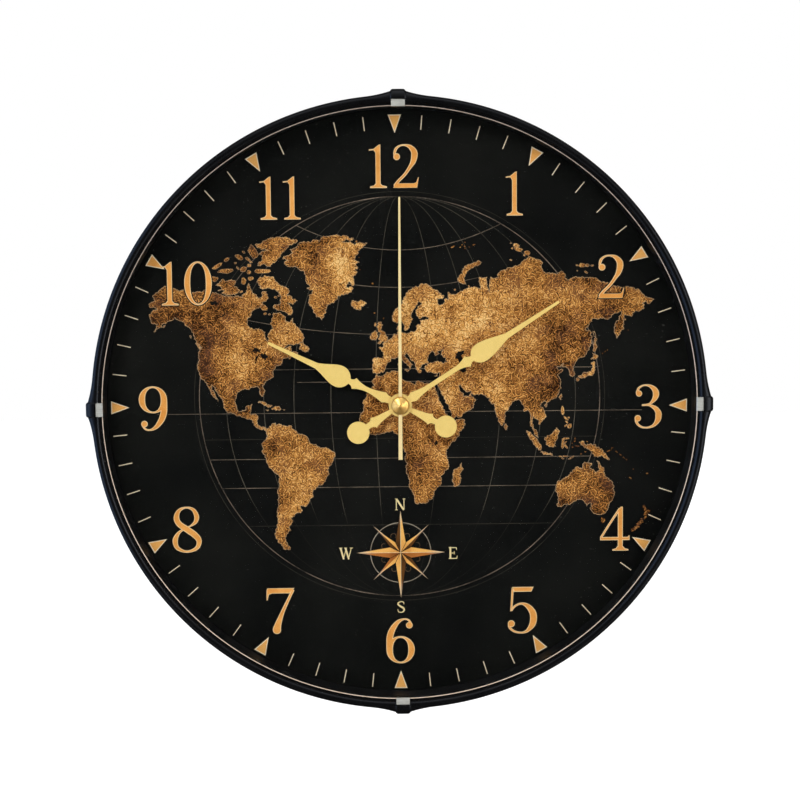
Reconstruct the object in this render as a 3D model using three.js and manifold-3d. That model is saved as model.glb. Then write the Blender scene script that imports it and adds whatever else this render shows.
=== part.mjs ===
// Round quartz wall clock with a world map dial: black bezel held by four spring clips, flat glass,
// printed dial, moulded back case and a battery movement with its whole gear train.
// Millimetres. +Z is up through 12 o'clock, +X points to 3 o'clock and the dial faces -Y.
// The origin is the middle of the clock's box, on the axis of the hands.
// Every piece is drawn lying on its back: x to 3 o'clock, y to 12 o'clock, z from the wall to the viewer.
import * as THREE from 'three';
import { mergeVertices } from 'three/addons/utils/BufferGeometryUtils.js';
import Module from 'manifold-3d';

const wasm = await Module();
wasm.setup();

// Clearances
const SEAT_GAP = 0.3;
const FIT_GAP = 0.2;
const WALL_GAP = 2.2;
const HAND_GAP = 0.5;
const GLASS_GAP = 1.2;

// Bezel ring and its clips
const RING_RADIUS = 147.3;
const BEAD_WIDTH = 4;
const BEAD_HEIGHT = 1.6;
const LIP_WIDTH = 1.3;
const LIP_THICKNESS = 0.6;
const SKIRT_WALL = 3;
const SKIRT_DEPTH = 29;
const SKIRT_BEVEL = 0.8;
const CLIP_WIDTH = 6.5;
const CLIP_SHEET = 0.8;
const CLIP_TAB = 3.5;
const CLIP_HOOK = 1.6;
const CLIP_LENGTH = 22;
const STRAP_RISE = 2.7;
const STRAP_CROWN = 0.3;
const FLARE_RISE = 1.75;
const FLARE_LENGTH = 12.7;

// Glass, dial and back case
const LENS_THICKNESS = 2;
const DIAL_THICKNESS = 0.6;
const CASE_WALL = 1.8;
const FLOOR_THICKNESS = 1.8;
const RIB_THICKNESS = 1.6;
const RIB_HEIGHT = 6;
const RIB_COUNT = 8;
const RING_RIB_RADIUS = 92;
const HANGER_HEIGHT = 47;
const HANGER_WIDTH = 24;
const HANGER_TALL = 28;
const HANGER_INSET = 1.2;
const HANGER_PLATE = 2.2;
const KEYHOLE_RADIUS = 4.5;
const KEYHOLE_SLOT = 4.6;
const KEYHOLE_RISE = 9;

// Fixing stack on the threaded bush
const GASKET_THICKNESS = 0.8;
const GASKET_RADIUS = 10;
const WASHER_THICKNESS = 0.4;
const WASHER_RADIUS = 5.6;
const NUT_THICKNESS = 1.8;
const NUT_FLATS = 10;
const BUSH_RADIUS = 4;
const BUSH_COLLAR = 1.6;
const BUSH_COLLAR_THICKNESS = 0.4;

// Concentric pipes
const SECOND_ARBOR = 0.5;
const MINUTE_PIPE = 1.65;
const HOUR_PIPE = 2.5;
const PIPE_LAND = 0.4;

// Hands
const HAND_SHEET = 0.6;
const SECOND_SHEET = 0.5;
const HOUR_ANGLE = 295.8;
const MINUTE_ANGLE = 57.3;
const SECOND_ANGLE = 0;
const HAND_HUB = 5.8;
const CAP_RADIUS = 4.3;
const CAP_HEIGHT = 2.6;
const CAP_FOOT = 0.4;
const CAP_BEVEL = 0.4;
const CAP_TIP = 0.5;
const HOUR_HAND = {
  length: 70.7, shoulder: 8.75, shoulderHalf: 2.7, shaftHalf: 1.17, collar: 24.7, collarHalf: 2.9,
  neck: 27.15, neckHalf: 1.32, bulge: 32.7, bulgeHalf: 5.3, ogee: 44.7, ogeeHalf: 1.47, tipHalf: 0.61,
  tailCollar: 16.15, tailCollarHalf: 2.95, tailNeck: 18.3, tailNeckHalf: 1.4, disc: 24.5, discRadius: 5.35,
};
const MINUTE_HAND = {
  length: 92.3, shoulder: 7.6, shoulderHalf: 2.5, shaftHalf: 1.12, collar: 38.95, collarHalf: 3,
  neck: 41.6, neckHalf: 1.42, bulge: 47.05, bulgeHalf: 4.7, ogee: 61.4, ogeeHalf: 1.37, tipHalf: 0.61,
  tailCollar: 15.4, tailCollarHalf: 2.95, tailNeck: 17.75, tailNeckHalf: 1.4, disc: 24.25, discRadius: 5.4,
};
const SECOND_LENGTH = 101.9;
const SECOND_TAIL = 26.3;
const SECOND_TIP_HALF = 0.6;
const SECOND_ROOT_HALF = 1.05;
const SECOND_TAIL_HALF = 1.2;
const SECOND_HUB = 2.6;

// Movement housing
const MOVEMENT_DEPTH = 16;
const HOUSING_HALF = 28;
const HOUSING_CORNER = 3;
const HOUSING_WALL = 1.2;
const HOUSING_FRONT = 2;
const COVER_WALL = 1.2;
const COVER_DEPTH = 6;
const BAY_WALL = 1.4;
const PLATE_THICKNESS = 1;
const POST_RADIUS = 1.5;
const BEARING_WALL = 0.7;
const BEARING_HEIGHT = 0.8;

// Gear train: teeth, modules and layers behind the inside of the front wall
const TOOTH_SHARE = 0.43;
const PRESSURE_ANGLE = 25 * Math.PI / 180;
const WHEEL_ADDENDUM = 0.7;
const PINION_ADDENDUM = 0.85;
const DEDENDUM = 1.1;
const ARBOR = 0.5;
const WHEEL_SHEET = 1;
const MOTION_MODULE = 0.45;
const MINUTE_PINION_TEETH = 10;
const MOTION_WHEEL_TEETH = 30;
const MOTION_PINION_TEETH = 8;
const HOUR_WHEEL_TEETH = 32;
const KNOB_PINION_TEETH = 8;
const THIRD_MODULE = 0.4;
const SECOND_PINION_TEETH = 6;
const THIRD_WHEEL_TEETH = 45;
const THIRD_PINION_TEETH = 6;
const CENTRE_WHEEL_TEETH = 48;
const SECOND_MODULE = 0.4167;
const SECOND_WHEEL_TEETH = 36;
const FIFTH_PINION_TEETH = 6;
const ROTOR_MODULE = 0.3667;
const FIFTH_WHEEL_TEETH = 30;
const ROTOR_PINION_TEETH = 6;
const MOTION_BEARING = 150;
const KNOB_BEARING = 170;
const THIRD_BEARING = 8;
const FIFTH_BEARING = 80;
const ROTOR_BEARING = 60;
const HOUR_LAYER = 0.4;
const MOTION_LAYER = 2.2;
const CENTRE_LAYER = 4.2;
const PLATE_LAYER = 5.8;
const THIRD_LAYER = 7.3;
const SECOND_LAYER = 9.2;
const FIFTH_LAYER = 10.9;
const PINION_OVERHANG = 0.2;

// Stepping motor and electronics
const MAGNET_RADIUS = 2.6;
const MAGNET_LENGTH = 1.6;
const STATOR_SHEET = 1;
const STATOR_HALF = 4;
const STATOR_GAP = 0.4;
const STATOR_LEG = 3.5;
const STATOR_SPAN = 14;
const CORE_HALF = 1.5;
const COIL_RISE = 7.9;
const COIL_RADIUS = 3.2;
const COIL_LENGTH = 19;
const BOBBIN_WALL = 0.7;
const BOARD_WIDTH = 15;
const BOARD_TALL = 13.5;
const BOARD_SHEET = 0.8;
const CHIP_RADIUS = 3;
const CHIP_HEIGHT = 1.2;
const CRYSTAL_RADIUS = 1;
const CRYSTAL_LENGTH = 6;

// Battery and its contacts
const CELL_RADIUS = 7.05;
const CELL_LENGTH = 50.5;
const CELL_NUB = 1.2;
const CELL_NUB_RADIUS = 2.7;
const CELL_BEVEL = 0.8;
const BAY_SIDE_GAP = 0.85;
const CONTACT_SHEET = 0.4;
const CONTACT_WIDTH = 2.5;

// Setting knob
const KNOB_RADIUS = 4.6;
const KNOB_THICKNESS = 1.4;
const KNOB_FLUTES = 12;
const KNOB_FLUTE_DEPTH = 0.35;
const KNOB_ARBOR = 1;
const KNOB_SOCKET = 0.6;

const TURN = 2 * Math.PI;
const radians = (degrees) => degrees * Math.PI / 180;

// Places along the depth, measured from the wall
const movementRear = WALL_GAP;
const movementFront = movementRear + MOVEMENT_DEPTH;
const innerFront = movementFront - HOUSING_FRONT;
const innerRear = movementRear + COVER_WALL;
const coverEdge = movementRear + COVER_DEPTH;
const gasketRear = movementFront + SEAT_GAP;
const floorRear = gasketRear + GASKET_THICKNESS + SEAT_GAP;
const floorFront = floorRear + FLOOR_THICKNESS;
const dialRear = floorFront + SEAT_GAP;
const dialFront = dialRear + DIAL_THICKNESS;
const washerRear = dialFront + SEAT_GAP;
const nutRear = washerRear + WASHER_THICKNESS + SEAT_GAP;
const bushEnd = nutRear + NUT_THICKNESS + PIPE_LAND;
const hourHandRear = bushEnd + PIPE_LAND;
const hourPipeEnd = hourHandRear + HAND_SHEET + PIPE_LAND;
const minuteHandRear = hourPipeEnd + HAND_GAP;
const minutePipeEnd = minuteHandRear + HAND_SHEET + PIPE_LAND;
const secondHandRear = minutePipeEnd + HAND_GAP;
const secondHandFront = secondHandRear + SECOND_SHEET;
const capRear = secondHandFront + SEAT_GAP;
const capFront = capRear + CAP_HEIGHT;
const lensRear = capFront + GLASS_GAP;
const lensFront = lensRear + LENS_THICKNESS;
const lipRear = lensFront + SEAT_GAP;
const lipFront = lipRear + LIP_THICKNESS;
const crest = lipFront + BEAD_HEIGHT;
const clockFront = crest + STRAP_CROWN;
const skirtRear = crest - SKIRT_DEPTH;
const layer = (depth) => innerFront - depth;

// Places across the clock
const beadInner = RING_RADIUS - BEAD_WIDTH;
const lipInner = beadInner - LIP_WIDTH;
const skirtInner = RING_RADIUS - SKIRT_WALL;
const caseOuter = skirtInner - SEAT_GAP;
const caseInner = caseOuter - CASE_WALL;
const spineInner = skirtInner + FIT_GAP;
const spineOuter = spineInner + CLIP_SHEET;
const slotOuter = spineOuter + SEAT_GAP;
const strapHalf = CLIP_WIDTH / 2 + SEAT_GAP;
const tabRear = lipFront + SEAT_GAP;
const tabFront = tabRear + CLIP_SHEET;
const hookRear = tabFront - CLIP_LENGTH;
const hookFront = hookRear + CLIP_SHEET;

// Gear centres
const polar = (origin, distance, bearing) => new THREE.Vector2(
  origin.x + distance * Math.cos(radians(bearing)),
  origin.y + distance * Math.sin(radians(bearing)),
);
const centre = new THREE.Vector2(0, 0);
const thirdDistance = (SECOND_PINION_TEETH + THIRD_WHEEL_TEETH) / 2 * THIRD_MODULE;
const centreModule = 2 * thirdDistance / (THIRD_PINION_TEETH + CENTRE_WHEEL_TEETH);
const motionDistance = (MINUTE_PINION_TEETH + MOTION_WHEEL_TEETH) / 2 * MOTION_MODULE;
const hourModule = 2 * motionDistance / (MOTION_PINION_TEETH + HOUR_WHEEL_TEETH);
const knobDistance = (KNOB_PINION_TEETH + MOTION_WHEEL_TEETH) / 2 * MOTION_MODULE;
const fifthDistance = (SECOND_WHEEL_TEETH + FIFTH_PINION_TEETH) / 2 * SECOND_MODULE;
const rotorDistance = (FIFTH_WHEEL_TEETH + ROTOR_PINION_TEETH) / 2 * ROTOR_MODULE;
const thirdAxis = polar(centre, thirdDistance, THIRD_BEARING);
const motionAxis = polar(centre, motionDistance, MOTION_BEARING);
const knobAxis = polar(motionAxis, knobDistance, KNOB_BEARING);
const fifthAxis = polar(centre, fifthDistance, FIFTH_BEARING);
const rotorAxis = polar(fifthAxis, rotorDistance, ROTOR_BEARING);

// Battery bay below the gear train
const bayTop = -(CENTRE_WHEEL_TEETH / 2 + 1) * centreModule - BAY_WALL - 2 * SEAT_GAP - BAY_WALL;
const bayBottom = bayTop - 2 * (CELL_RADIUS + BAY_SIDE_GAP);
const housingBottom = bayBottom - HOUSING_WALL;
const housingTop = HOUSING_HALF;
const cellHeight = (bayTop + bayBottom) / 2;
const cellDepth = innerFront - SEAT_GAP - CELL_RADIUS;
const innerHalf = HOUSING_HALF - HOUSING_WALL;
const contactOuter = innerHalf - SEAT_GAP;
const contactInner = contactOuter - CONTACT_SHEET;
const cellTip = contactInner - SEAT_GAP;
const cellTail = cellTip - CELL_LENGTH;

// Solids and meshes
function toSolid(geometry) {
  const bare = geometry.clone();
  bare.deleteAttribute('normal');
  bare.deleteAttribute('uv');
  const merged = mergeVertices(bare, 1e-5);
  return new wasm.Manifold(new wasm.Mesh({
    numProp: 3,
    vertProperties: new Float32Array(merged.attributes.position.array),
    triVerts: new Uint32Array(merged.index.array),
  }));
}

function toGeometry(solid) {
  const mesh = solid.getMesh();
  const geometry = new THREE.BufferGeometry();
  geometry.setAttribute('position', new THREE.Float32BufferAttribute(mesh.vertProperties, 3));
  geometry.setIndex(new THREE.Uint32BufferAttribute(mesh.triVerts, 1));
  geometry.computeVertexNormals();
  return geometry;
}

const join = (solids) => solids.reduce((whole, solid) => whole.add(solid));
const cut = (solid, tools) => tools.reduce((rest, tool) => rest.subtract(tool), solid);

function slab(shape, from, to, segments = 12) {
  const geometry = new THREE.ExtrudeGeometry(shape, {
    depth: to - from, bevelEnabled: false, curveSegments: segments,
  });
  geometry.translate(0, 0, from);
  return toSolid(geometry);
}

function rod(radius, from, to, place = centre, segments = 16) {
  const geometry = new THREE.CylinderGeometry(radius, radius, to - from, segments);
  geometry.rotateX(Math.PI / 2);
  geometry.translate(place.x, place.y, (from + to) / 2);
  return toSolid(geometry);
}

function block(left, right, bottom, top, from, to) {
  const geometry = new THREE.BoxGeometry(right - left, top - bottom, to - from);
  geometry.translate((left + right) / 2, (bottom + top) / 2, (from + to) / 2);
  return toSolid(geometry);
}

// Revolves a closed outline of [radius, depth] pairs, given counter-clockwise, about the hand axis.
function turned(outline, segments, place = centre) {
  const points = [...outline, outline[0]].map(([radius, depth]) => new THREE.Vector2(radius, depth));
  const geometry = new THREE.LatheGeometry(points, segments);
  geometry.rotateX(Math.PI / 2);
  geometry.translate(place.x, place.y, 0);
  return toSolid(geometry);
}

const tube = (outer, inner, from, to, segments = 16, place = centre) => turned(
  [[inner, from], [outer, from], [outer, to], [inner, to]], segments, place,
);

function roundedBox(left, right, bottom, top, corner) {
  const shape = new THREE.Shape();
  shape.moveTo(left + corner, bottom);
  shape.lineTo(right - corner, bottom);
  shape.absarc(right - corner, bottom + corner, corner, -Math.PI / 2, 0, false);
  shape.lineTo(right, top - corner);
  shape.absarc(right - corner, top - corner, corner, 0, Math.PI / 2, false);
  shape.lineTo(left + corner, top);
  shape.absarc(left + corner, top - corner, corner, Math.PI / 2, Math.PI, false);
  shape.lineTo(left, bottom + corner);
  shape.absarc(left + corner, bottom + corner, corner, Math.PI, 1.5 * Math.PI, false);
  return shape;
}

// Bezel: one cross-section carried round the ring, pushed out into a strap and a flare at each clip.
function bezelOffset(arc) {
  const distance = Math.abs(arc);
  if (distance < strapHalf) {
    return STRAP_RISE;
  }
  const share = Math.min((distance - strapHalf) / FLARE_LENGTH, 1);
  return FLARE_RISE * (1 - share) ** 2.2;
}

function bezelSection(arc) {
  const offset = bezelOffset(arc);
  const crown = Math.abs(arc) < strapHalf ? STRAP_CROWN : 0;
  const points = [[lipInner, lipRear], [lipInner, lipFront]];
  const steps = 6;
  for (let i = 0; i <= steps; i += 1) {
    const t = Math.PI * i / steps;
    const outward = Math.max(0, -Math.cos(t));
    points.push([
      beadInner + BEAD_WIDTH / 2 * (1 - Math.cos(t)) + offset * outward,
      lipFront + (BEAD_HEIGHT + crown) * Math.sin(t),
    ]);
  }
  points.push([RING_RADIUS + 0.4 * offset, skirtRear + SKIRT_BEVEL]);
  points.push([RING_RADIUS - SKIRT_BEVEL, skirtRear]);
  points.push([skirtInner, skirtRear]);
  points.push([skirtInner, lipRear]);
  return points;
}

function bezelStations() {
  const near = [strapHalf - 0.25, strapHalf];
  for (const share of [0.2, 0.5, 1]) {
    near.push(strapHalf + share * FLARE_LENGTH);
  }
  const quarter = RING_RADIUS * Math.PI / 2;
  const flareEnd = strapHalf + FLARE_LENGTH;
  const plain = 12;
  const stations = [];
  for (let clip = 0; clip < 4; clip += 1) {
    const run = near.map((arc) => arc);
    for (let i = 1; i < plain; i += 1) {
      run.push(flareEnd + (quarter - 2 * flareEnd) * i / plain);
    }
    for (const arc of [...near].reverse()) {
      run.push(quarter - arc);
    }
    for (const arc of run) {
      const nearest = arc < quarter / 2 ? arc : quarter - arc;
      stations.push({ angle: (clip * quarter + arc) / RING_RADIUS, section: bezelSection(nearest) });
    }
  }
  return stations;
}

function bezelSolid() {
  const stations = bezelStations();
  const size = stations[0].section.length;
  const positions = [];
  const index = [];
  stations.forEach(({ angle, section }, i) => {
    const next = (i + 1) % stations.length;
    section.forEach(([radius, depth], j) => {
      positions.push(radius * Math.cos(angle), radius * Math.sin(angle), depth);
      const k = (j + 1) % size;
      const [a, b, c, d] = [i * size + j, i * size + k, next * size + k, next * size + j];
      index.push(a, b, c, a, c, d);
    });
  });
  const geometry = new THREE.BufferGeometry();
  geometry.setAttribute('position', new THREE.Float32BufferAttribute(positions, 3));
  geometry.setIndex(index);
  const half = CLIP_WIDTH / 2 + FIT_GAP;
  const slots = [0, 90, 180, 270].flatMap((bearing) => [
    block(lipInner - 1, slotOuter, -half, half, lipFront, clockFront + 1),
    block(skirtInner - 1, slotOuter, -half, half, skirtRear - 1, clockFront + 1),
  ].map((tool) => tool.rotate([0, 0, bearing])));
  return cut(toSolid(geometry), slots);
}

// Spring clip: one bent strip, with a bright tab over the lip and a hook through the case wall.
function clipSolid(bearing) {
  const shape = new THREE.Shape();
  const tabInner = spineOuter - CLIP_TAB;
  shape.moveTo(spineOuter, hookRear);
  shape.lineTo(spineOuter, tabFront - CLIP_SHEET / 2);
  shape.lineTo(spineOuter - CLIP_SHEET / 2, tabFront);
  shape.lineTo(tabInner + CLIP_SHEET / 3, tabFront);
  shape.lineTo(tabInner, tabFront - CLIP_SHEET / 3);
  shape.lineTo(tabInner, tabRear);
  shape.lineTo(spineInner, tabRear);
  shape.lineTo(spineInner, hookFront);
  shape.lineTo(caseOuter - CLIP_HOOK, hookFront);
  shape.lineTo(caseOuter - CLIP_HOOK, hookRear);
  const geometry = new THREE.ExtrudeGeometry(shape, { depth: CLIP_WIDTH, bevelEnabled: false });
  geometry.translate(0, 0, -CLIP_WIDTH / 2);
  geometry.rotateX(Math.PI / 2);
  return toSolid(geometry).rotate([0, 0, bearing]);
}

// Back case: floor with a wall both ways, ribs, a frame round the movement and the keyhole hanger.
function caseSolid() {
  const shell = turned([
    [BUSH_RADIUS + SEAT_GAP, floorRear], [caseInner, floorRear], [caseInner, 0], [caseOuter, 0],
    [caseOuter, lensRear - SEAT_GAP], [caseInner, lensRear - SEAT_GAP], [caseInner, floorFront],
    [BUSH_RADIUS + SEAT_GAP, floorFront],
  ], 48);
  const sunk = floorRear + FLOOR_THICKNESS / 2;
  const frame = roundedBox(
    -HOUSING_HALF - SEAT_GAP - RIB_THICKNESS, HOUSING_HALF + SEAT_GAP + RIB_THICKNESS,
    housingBottom - SEAT_GAP - RIB_THICKNESS, housingTop + SEAT_GAP + RIB_THICKNESS,
    HOUSING_CORNER + RIB_THICKNESS,
  );
  frame.holes.push(roundedBox(
    -HOUSING_HALF - SEAT_GAP, HOUSING_HALF + SEAT_GAP,
    housingBottom - SEAT_GAP, housingTop + SEAT_GAP, HOUSING_CORNER,
  ));
  const ribs = [];
  for (let i = 0; i < RIB_COUNT; i += 1) {
    const rib = block(
      RING_RIB_RADIUS, caseInner + CASE_WALL / 2, -RIB_THICKNESS / 2, RIB_THICKNESS / 2,
      floorRear - RIB_HEIGHT, sunk,
    );
    ribs.push(rib.rotate([0, 0, (i + 0.5) * 360 / RIB_COUNT]));
  }
  const ringRib = tube(
    RING_RIB_RADIUS + RIB_THICKNESS / 2, RING_RIB_RADIUS - RIB_THICKNESS / 2,
    floorRear - RIB_HEIGHT, sunk, 24,
  );
  const low = HANGER_HEIGHT - HANGER_TALL / 2;
  const high = HANGER_HEIGHT + HANGER_TALL / 2;
  const half = HANGER_WIDTH / 2;
  const boss = slab(roundedBox(-half, half, low, high, HOUSING_CORNER), HANGER_INSET, sunk, 4);
  const hollow = slab(
    roundedBox(
      -half + RIB_THICKNESS, half - RIB_THICKNESS, low + RIB_THICKNESS, high - RIB_THICKNESS,
      HOUSING_CORNER - RIB_THICKNESS,
    ), HANGER_INSET + HANGER_PLATE, floorRear, 4,
  );
  const entry = new THREE.Vector2(0, HANGER_HEIGHT - KEYHOLE_RISE / 2);
  const slotTop = new THREE.Vector2(0, entry.y + KEYHOLE_RISE);
  const plateBack = HANGER_INSET + HANGER_PLATE + 1;
  const keyhole = join([
    rod(KEYHOLE_RADIUS, HANGER_INSET - 1, plateBack, entry, 24),
    rod(KEYHOLE_SLOT / 2, HANGER_INSET - 1, plateBack, slotTop, 16),
    block(-KEYHOLE_SLOT / 2, KEYHOLE_SLOT / 2, entry.y, slotTop.y, HANGER_INSET - 1, plateBack),
  ]);
  const windowHalf = CLIP_WIDTH / 2 + SEAT_GAP;
  const windows = [0, 90, 180, 270].map((bearing) => block(
    caseOuter - CLIP_HOOK - SEAT_GAP, caseOuter + 1, -windowHalf, windowHalf,
    hookRear - SEAT_GAP, hookFront + SEAT_GAP,
  ).rotate([0, 0, bearing]));
  const ribbed = join([shell, slab(frame, floorRear - RIB_HEIGHT, sunk, 4), ringRib, ...ribs]);
  return cut(join([ribbed, boss]), [hollow, keyhole, ...windows]);
}

// Gear outlines: each flank is the chord of an involute, radial below the base circle.
function gearShape(teeth, module, addendum, phase) {
  const pitch = teeth * module / 2;
  const base = pitch * Math.cos(PRESSURE_ANGLE);
  const tip = pitch + addendum * module;
  const root = pitch - DEDENDUM * module;
  const involute = (angle) => Math.tan(angle) - angle;
  const halfAtPitch = TOOTH_SHARE * Math.PI / teeth;
  const halfAt = (radius) => {
    const at = Math.acos(Math.min(1, base / Math.max(radius, base)));
    return halfAtPitch + involute(PRESSURE_ANGLE) - involute(at);
  };
  const points = [];
  for (let tooth = 0; tooth < teeth; tooth += 1) {
    const middle = phase + TURN * tooth / teeth;
    points.push([root, middle - halfAt(root)], [tip, middle - halfAt(tip)]);
    points.push([tip, middle + halfAt(tip)], [root, middle + halfAt(root)]);
  }
  return new THREE.Shape(points.map(([radius, angle]) => new THREE.Vector2(
    radius * Math.cos(angle), radius * Math.sin(angle),
  )));
}

// Phase that sets a driven gear's space opposite the driver's tooth on the line of centres.
function meshPhase(from, to, driverTeeth, driverPhase, drivenTeeth) {
  const bearing = Math.atan2(to.y - from.y, to.x - from.x);
  const lead = (bearing - driverPhase) * driverTeeth / TURN;
  return bearing + Math.PI - (0.5 - lead) * TURN / drivenTeeth;
}

function wheel(teeth, module, phase, from, to, place) {
  return slab(gearShape(teeth, module, WHEEL_ADDENDUM, phase), from, to).translate([place.x, place.y, 0]);
}

function pinion(teeth, module, phase, from, to, place) {
  return slab(gearShape(teeth, module, PINION_ADDENDUM, phase), from, to).translate([place.x, place.y, 0]);
}

const behind = (depth, thickness = WHEEL_SHEET) => [layer(depth + thickness), layer(depth)];
const around = (depth) => [
  layer(depth + WHEEL_SHEET + PINION_OVERHANG), layer(depth - PINION_OVERHANG),
];

const pivotRear = innerRear + FIT_GAP;
const plateFront = layer(PLATE_LAYER);
const plateRear = plateFront - PLATE_THICKNESS;

function hourWheelSolid() {
  const phase = meshPhase(motionAxis, centre, MOTION_PINION_TEETH, 0, HOUR_WHEEL_TEETH);
  const [from, to] = behind(HOUR_LAYER);
  const gear = wheel(HOUR_WHEEL_TEETH, hourModule, phase, from, to, centre);
  const bore = rod(MINUTE_PIPE + FIT_GAP, from - 1, hourPipeEnd + 1);
  return cut(join([gear, rod(HOUR_PIPE, from, hourPipeEnd)]), [bore]);
}

function minuteArborSolid() {
  const [from, to] = around(MOTION_LAYER);
  const leaves = pinion(MINUTE_PINION_TEETH, MOTION_MODULE, 0, from, to, centre);
  const rear = plateFront + FIT_GAP;
  const bore = rod(SECOND_ARBOR + FIT_GAP, rear - 1, minutePipeEnd + 1);
  return cut(join([leaves, rod(MINUTE_PIPE, rear, minutePipeEnd)]), [bore]);
}

function centreWheelSolid() {
  const phase = meshPhase(thirdAxis, centre, THIRD_PINION_TEETH, 0, CENTRE_WHEEL_TEETH);
  const [from, to] = behind(CENTRE_LAYER);
  const gear = wheel(CENTRE_WHEEL_TEETH, centreModule, phase, from, to, centre);
  return cut(gear, [rod(MINUTE_PIPE + FIT_GAP, from - 1, to + 1)]);
}

function thirdWheelSolid() {
  const phase = meshPhase(centre, thirdAxis, SECOND_PINION_TEETH, 0, THIRD_WHEEL_TEETH);
  return join([
    wheel(THIRD_WHEEL_TEETH, THIRD_MODULE, phase, ...behind(THIRD_LAYER), thirdAxis),
    pinion(THIRD_PINION_TEETH, centreModule, 0, ...around(CENTRE_LAYER), thirdAxis),
    rod(ARBOR, pivotRear, layer(CENTRE_LAYER - BEARING_HEIGHT - PINION_OVERHANG - FIT_GAP), thirdAxis, 8),
  ]);
}

function secondWheelSolid() {
  const phase = 0;
  return join([
    wheel(SECOND_WHEEL_TEETH, SECOND_MODULE, phase, ...behind(SECOND_LAYER), centre),
    pinion(SECOND_PINION_TEETH, THIRD_MODULE, 0, ...around(THIRD_LAYER), centre),
    rod(SECOND_ARBOR, pivotRear, secondHandFront, centre, 8),
  ]);
}

function fifthWheelSolid() {
  const phase = meshPhase(centre, fifthAxis, SECOND_WHEEL_TEETH, 0, FIFTH_PINION_TEETH);
  return join([
    wheel(FIFTH_WHEEL_TEETH, ROTOR_MODULE, 0, ...behind(FIFTH_LAYER, WHEEL_SHEET), fifthAxis),
    pinion(FIFTH_PINION_TEETH, SECOND_MODULE, phase, ...around(SECOND_LAYER), fifthAxis),
    rod(ARBOR, pivotRear, plateRear + PLATE_THICKNESS / 2, fifthAxis, 8),
  ]);
}

function rotorSolid() {
  const phase = meshPhase(fifthAxis, rotorAxis, FIFTH_WHEEL_TEETH, 0, ROTOR_PINION_TEETH);
  return join([
    pinion(ROTOR_PINION_TEETH, ROTOR_MODULE, phase, ...behind(FIFTH_LAYER), rotorAxis),
    rod(ARBOR, pivotRear, plateRear + PLATE_THICKNESS / 2, rotorAxis, 8),
  ]);
}

const statorRear = layer(FIFTH_LAYER - FIT_GAP - SEAT_GAP);
const statorFront = statorRear + STATOR_SHEET;
const coreRear = statorFront + FIT_GAP;
const coreFront = coreRear + STATOR_SHEET;
const coilHeight = rotorAxis.y + COIL_RISE;
const statorLeft = rotorAxis.x - STATOR_SPAN;
const statorRight = rotorAxis.x + STATOR_SPAN;
const bobbinLeft = rotorAxis.x - COIL_LENGTH / 2;
const bobbinRight = rotorAxis.x + COIL_LENGTH / 2;
const coilDepth = (coreRear + coreFront) / 2;
const bobbinBore = CORE_HALF + FIT_GAP;
const bobbinTube = Math.hypot(bobbinBore, STATOR_SHEET / 2 + FIT_GAP) + BOBBIN_WALL / 2;

function magnetSolid() {
  const middle = (statorRear + statorFront) / 2;
  return tube(
    MAGNET_RADIUS, ARBOR + FIT_GAP, middle - MAGNET_LENGTH / 2 + FIT_GAP, middle + MAGNET_LENGTH / 2,
    12, rotorAxis,
  );
}

function motionWheelSolid() {
  const phase = meshPhase(centre, motionAxis, MINUTE_PINION_TEETH, 0, MOTION_WHEEL_TEETH);
  const [from, to] = behind(MOTION_LAYER);
  const [, front] = behind(HOUR_LAYER);
  const both = join([
    wheel(MOTION_WHEEL_TEETH, MOTION_MODULE, phase, from, to, motionAxis),
    pinion(MOTION_PINION_TEETH, hourModule, 0, from + WHEEL_SHEET / 2, front, motionAxis),
  ]);
  return cut(both, [rod(ARBOR + FIT_GAP, from - 1, front + 1, motionAxis, 16)]);
}

const knobFront = movementRear - SEAT_GAP;
const knobSocket = knobFront - KNOB_THICKNESS * KNOB_SOCKET;

// Setting pair: a pinion arbor through the cover, with a fluted head pressed on its outer end.
function settingArborSolid() {
  const wheelPhase = meshPhase(centre, motionAxis, MINUTE_PINION_TEETH, 0, MOTION_WHEEL_TEETH);
  const phase = meshPhase(motionAxis, knobAxis, MOTION_WHEEL_TEETH, wheelPhase, KNOB_PINION_TEETH);
  return join([
    rod(KNOB_ARBOR, knobSocket + FIT_GAP, innerFront - SEAT_GAP, knobAxis, 10),
    pinion(KNOB_PINION_TEETH, MOTION_MODULE, phase, ...around(MOTION_LAYER), knobAxis),
  ]);
}

function knobSolid() {
  const rim = [];
  for (let i = 0; i < KNOB_FLUTES * 4; i += 1) {
    const angle = TURN * i / (KNOB_FLUTES * 4);
    const radius = KNOB_RADIUS - (i % 4 < 2 ? 0 : KNOB_FLUTE_DEPTH);
    rim.push(new THREE.Vector2(radius * Math.cos(angle), radius * Math.sin(angle)));
  }
  const head = slab(new THREE.Shape(rim), knobFront - KNOB_THICKNESS, knobFront);
  return cut(head.translate([knobAxis.x, knobAxis.y, 0]), [
    rod(KNOB_ARBOR + FIT_GAP, knobSocket, knobFront + 1, knobAxis, 10),
  ]);
}

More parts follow.
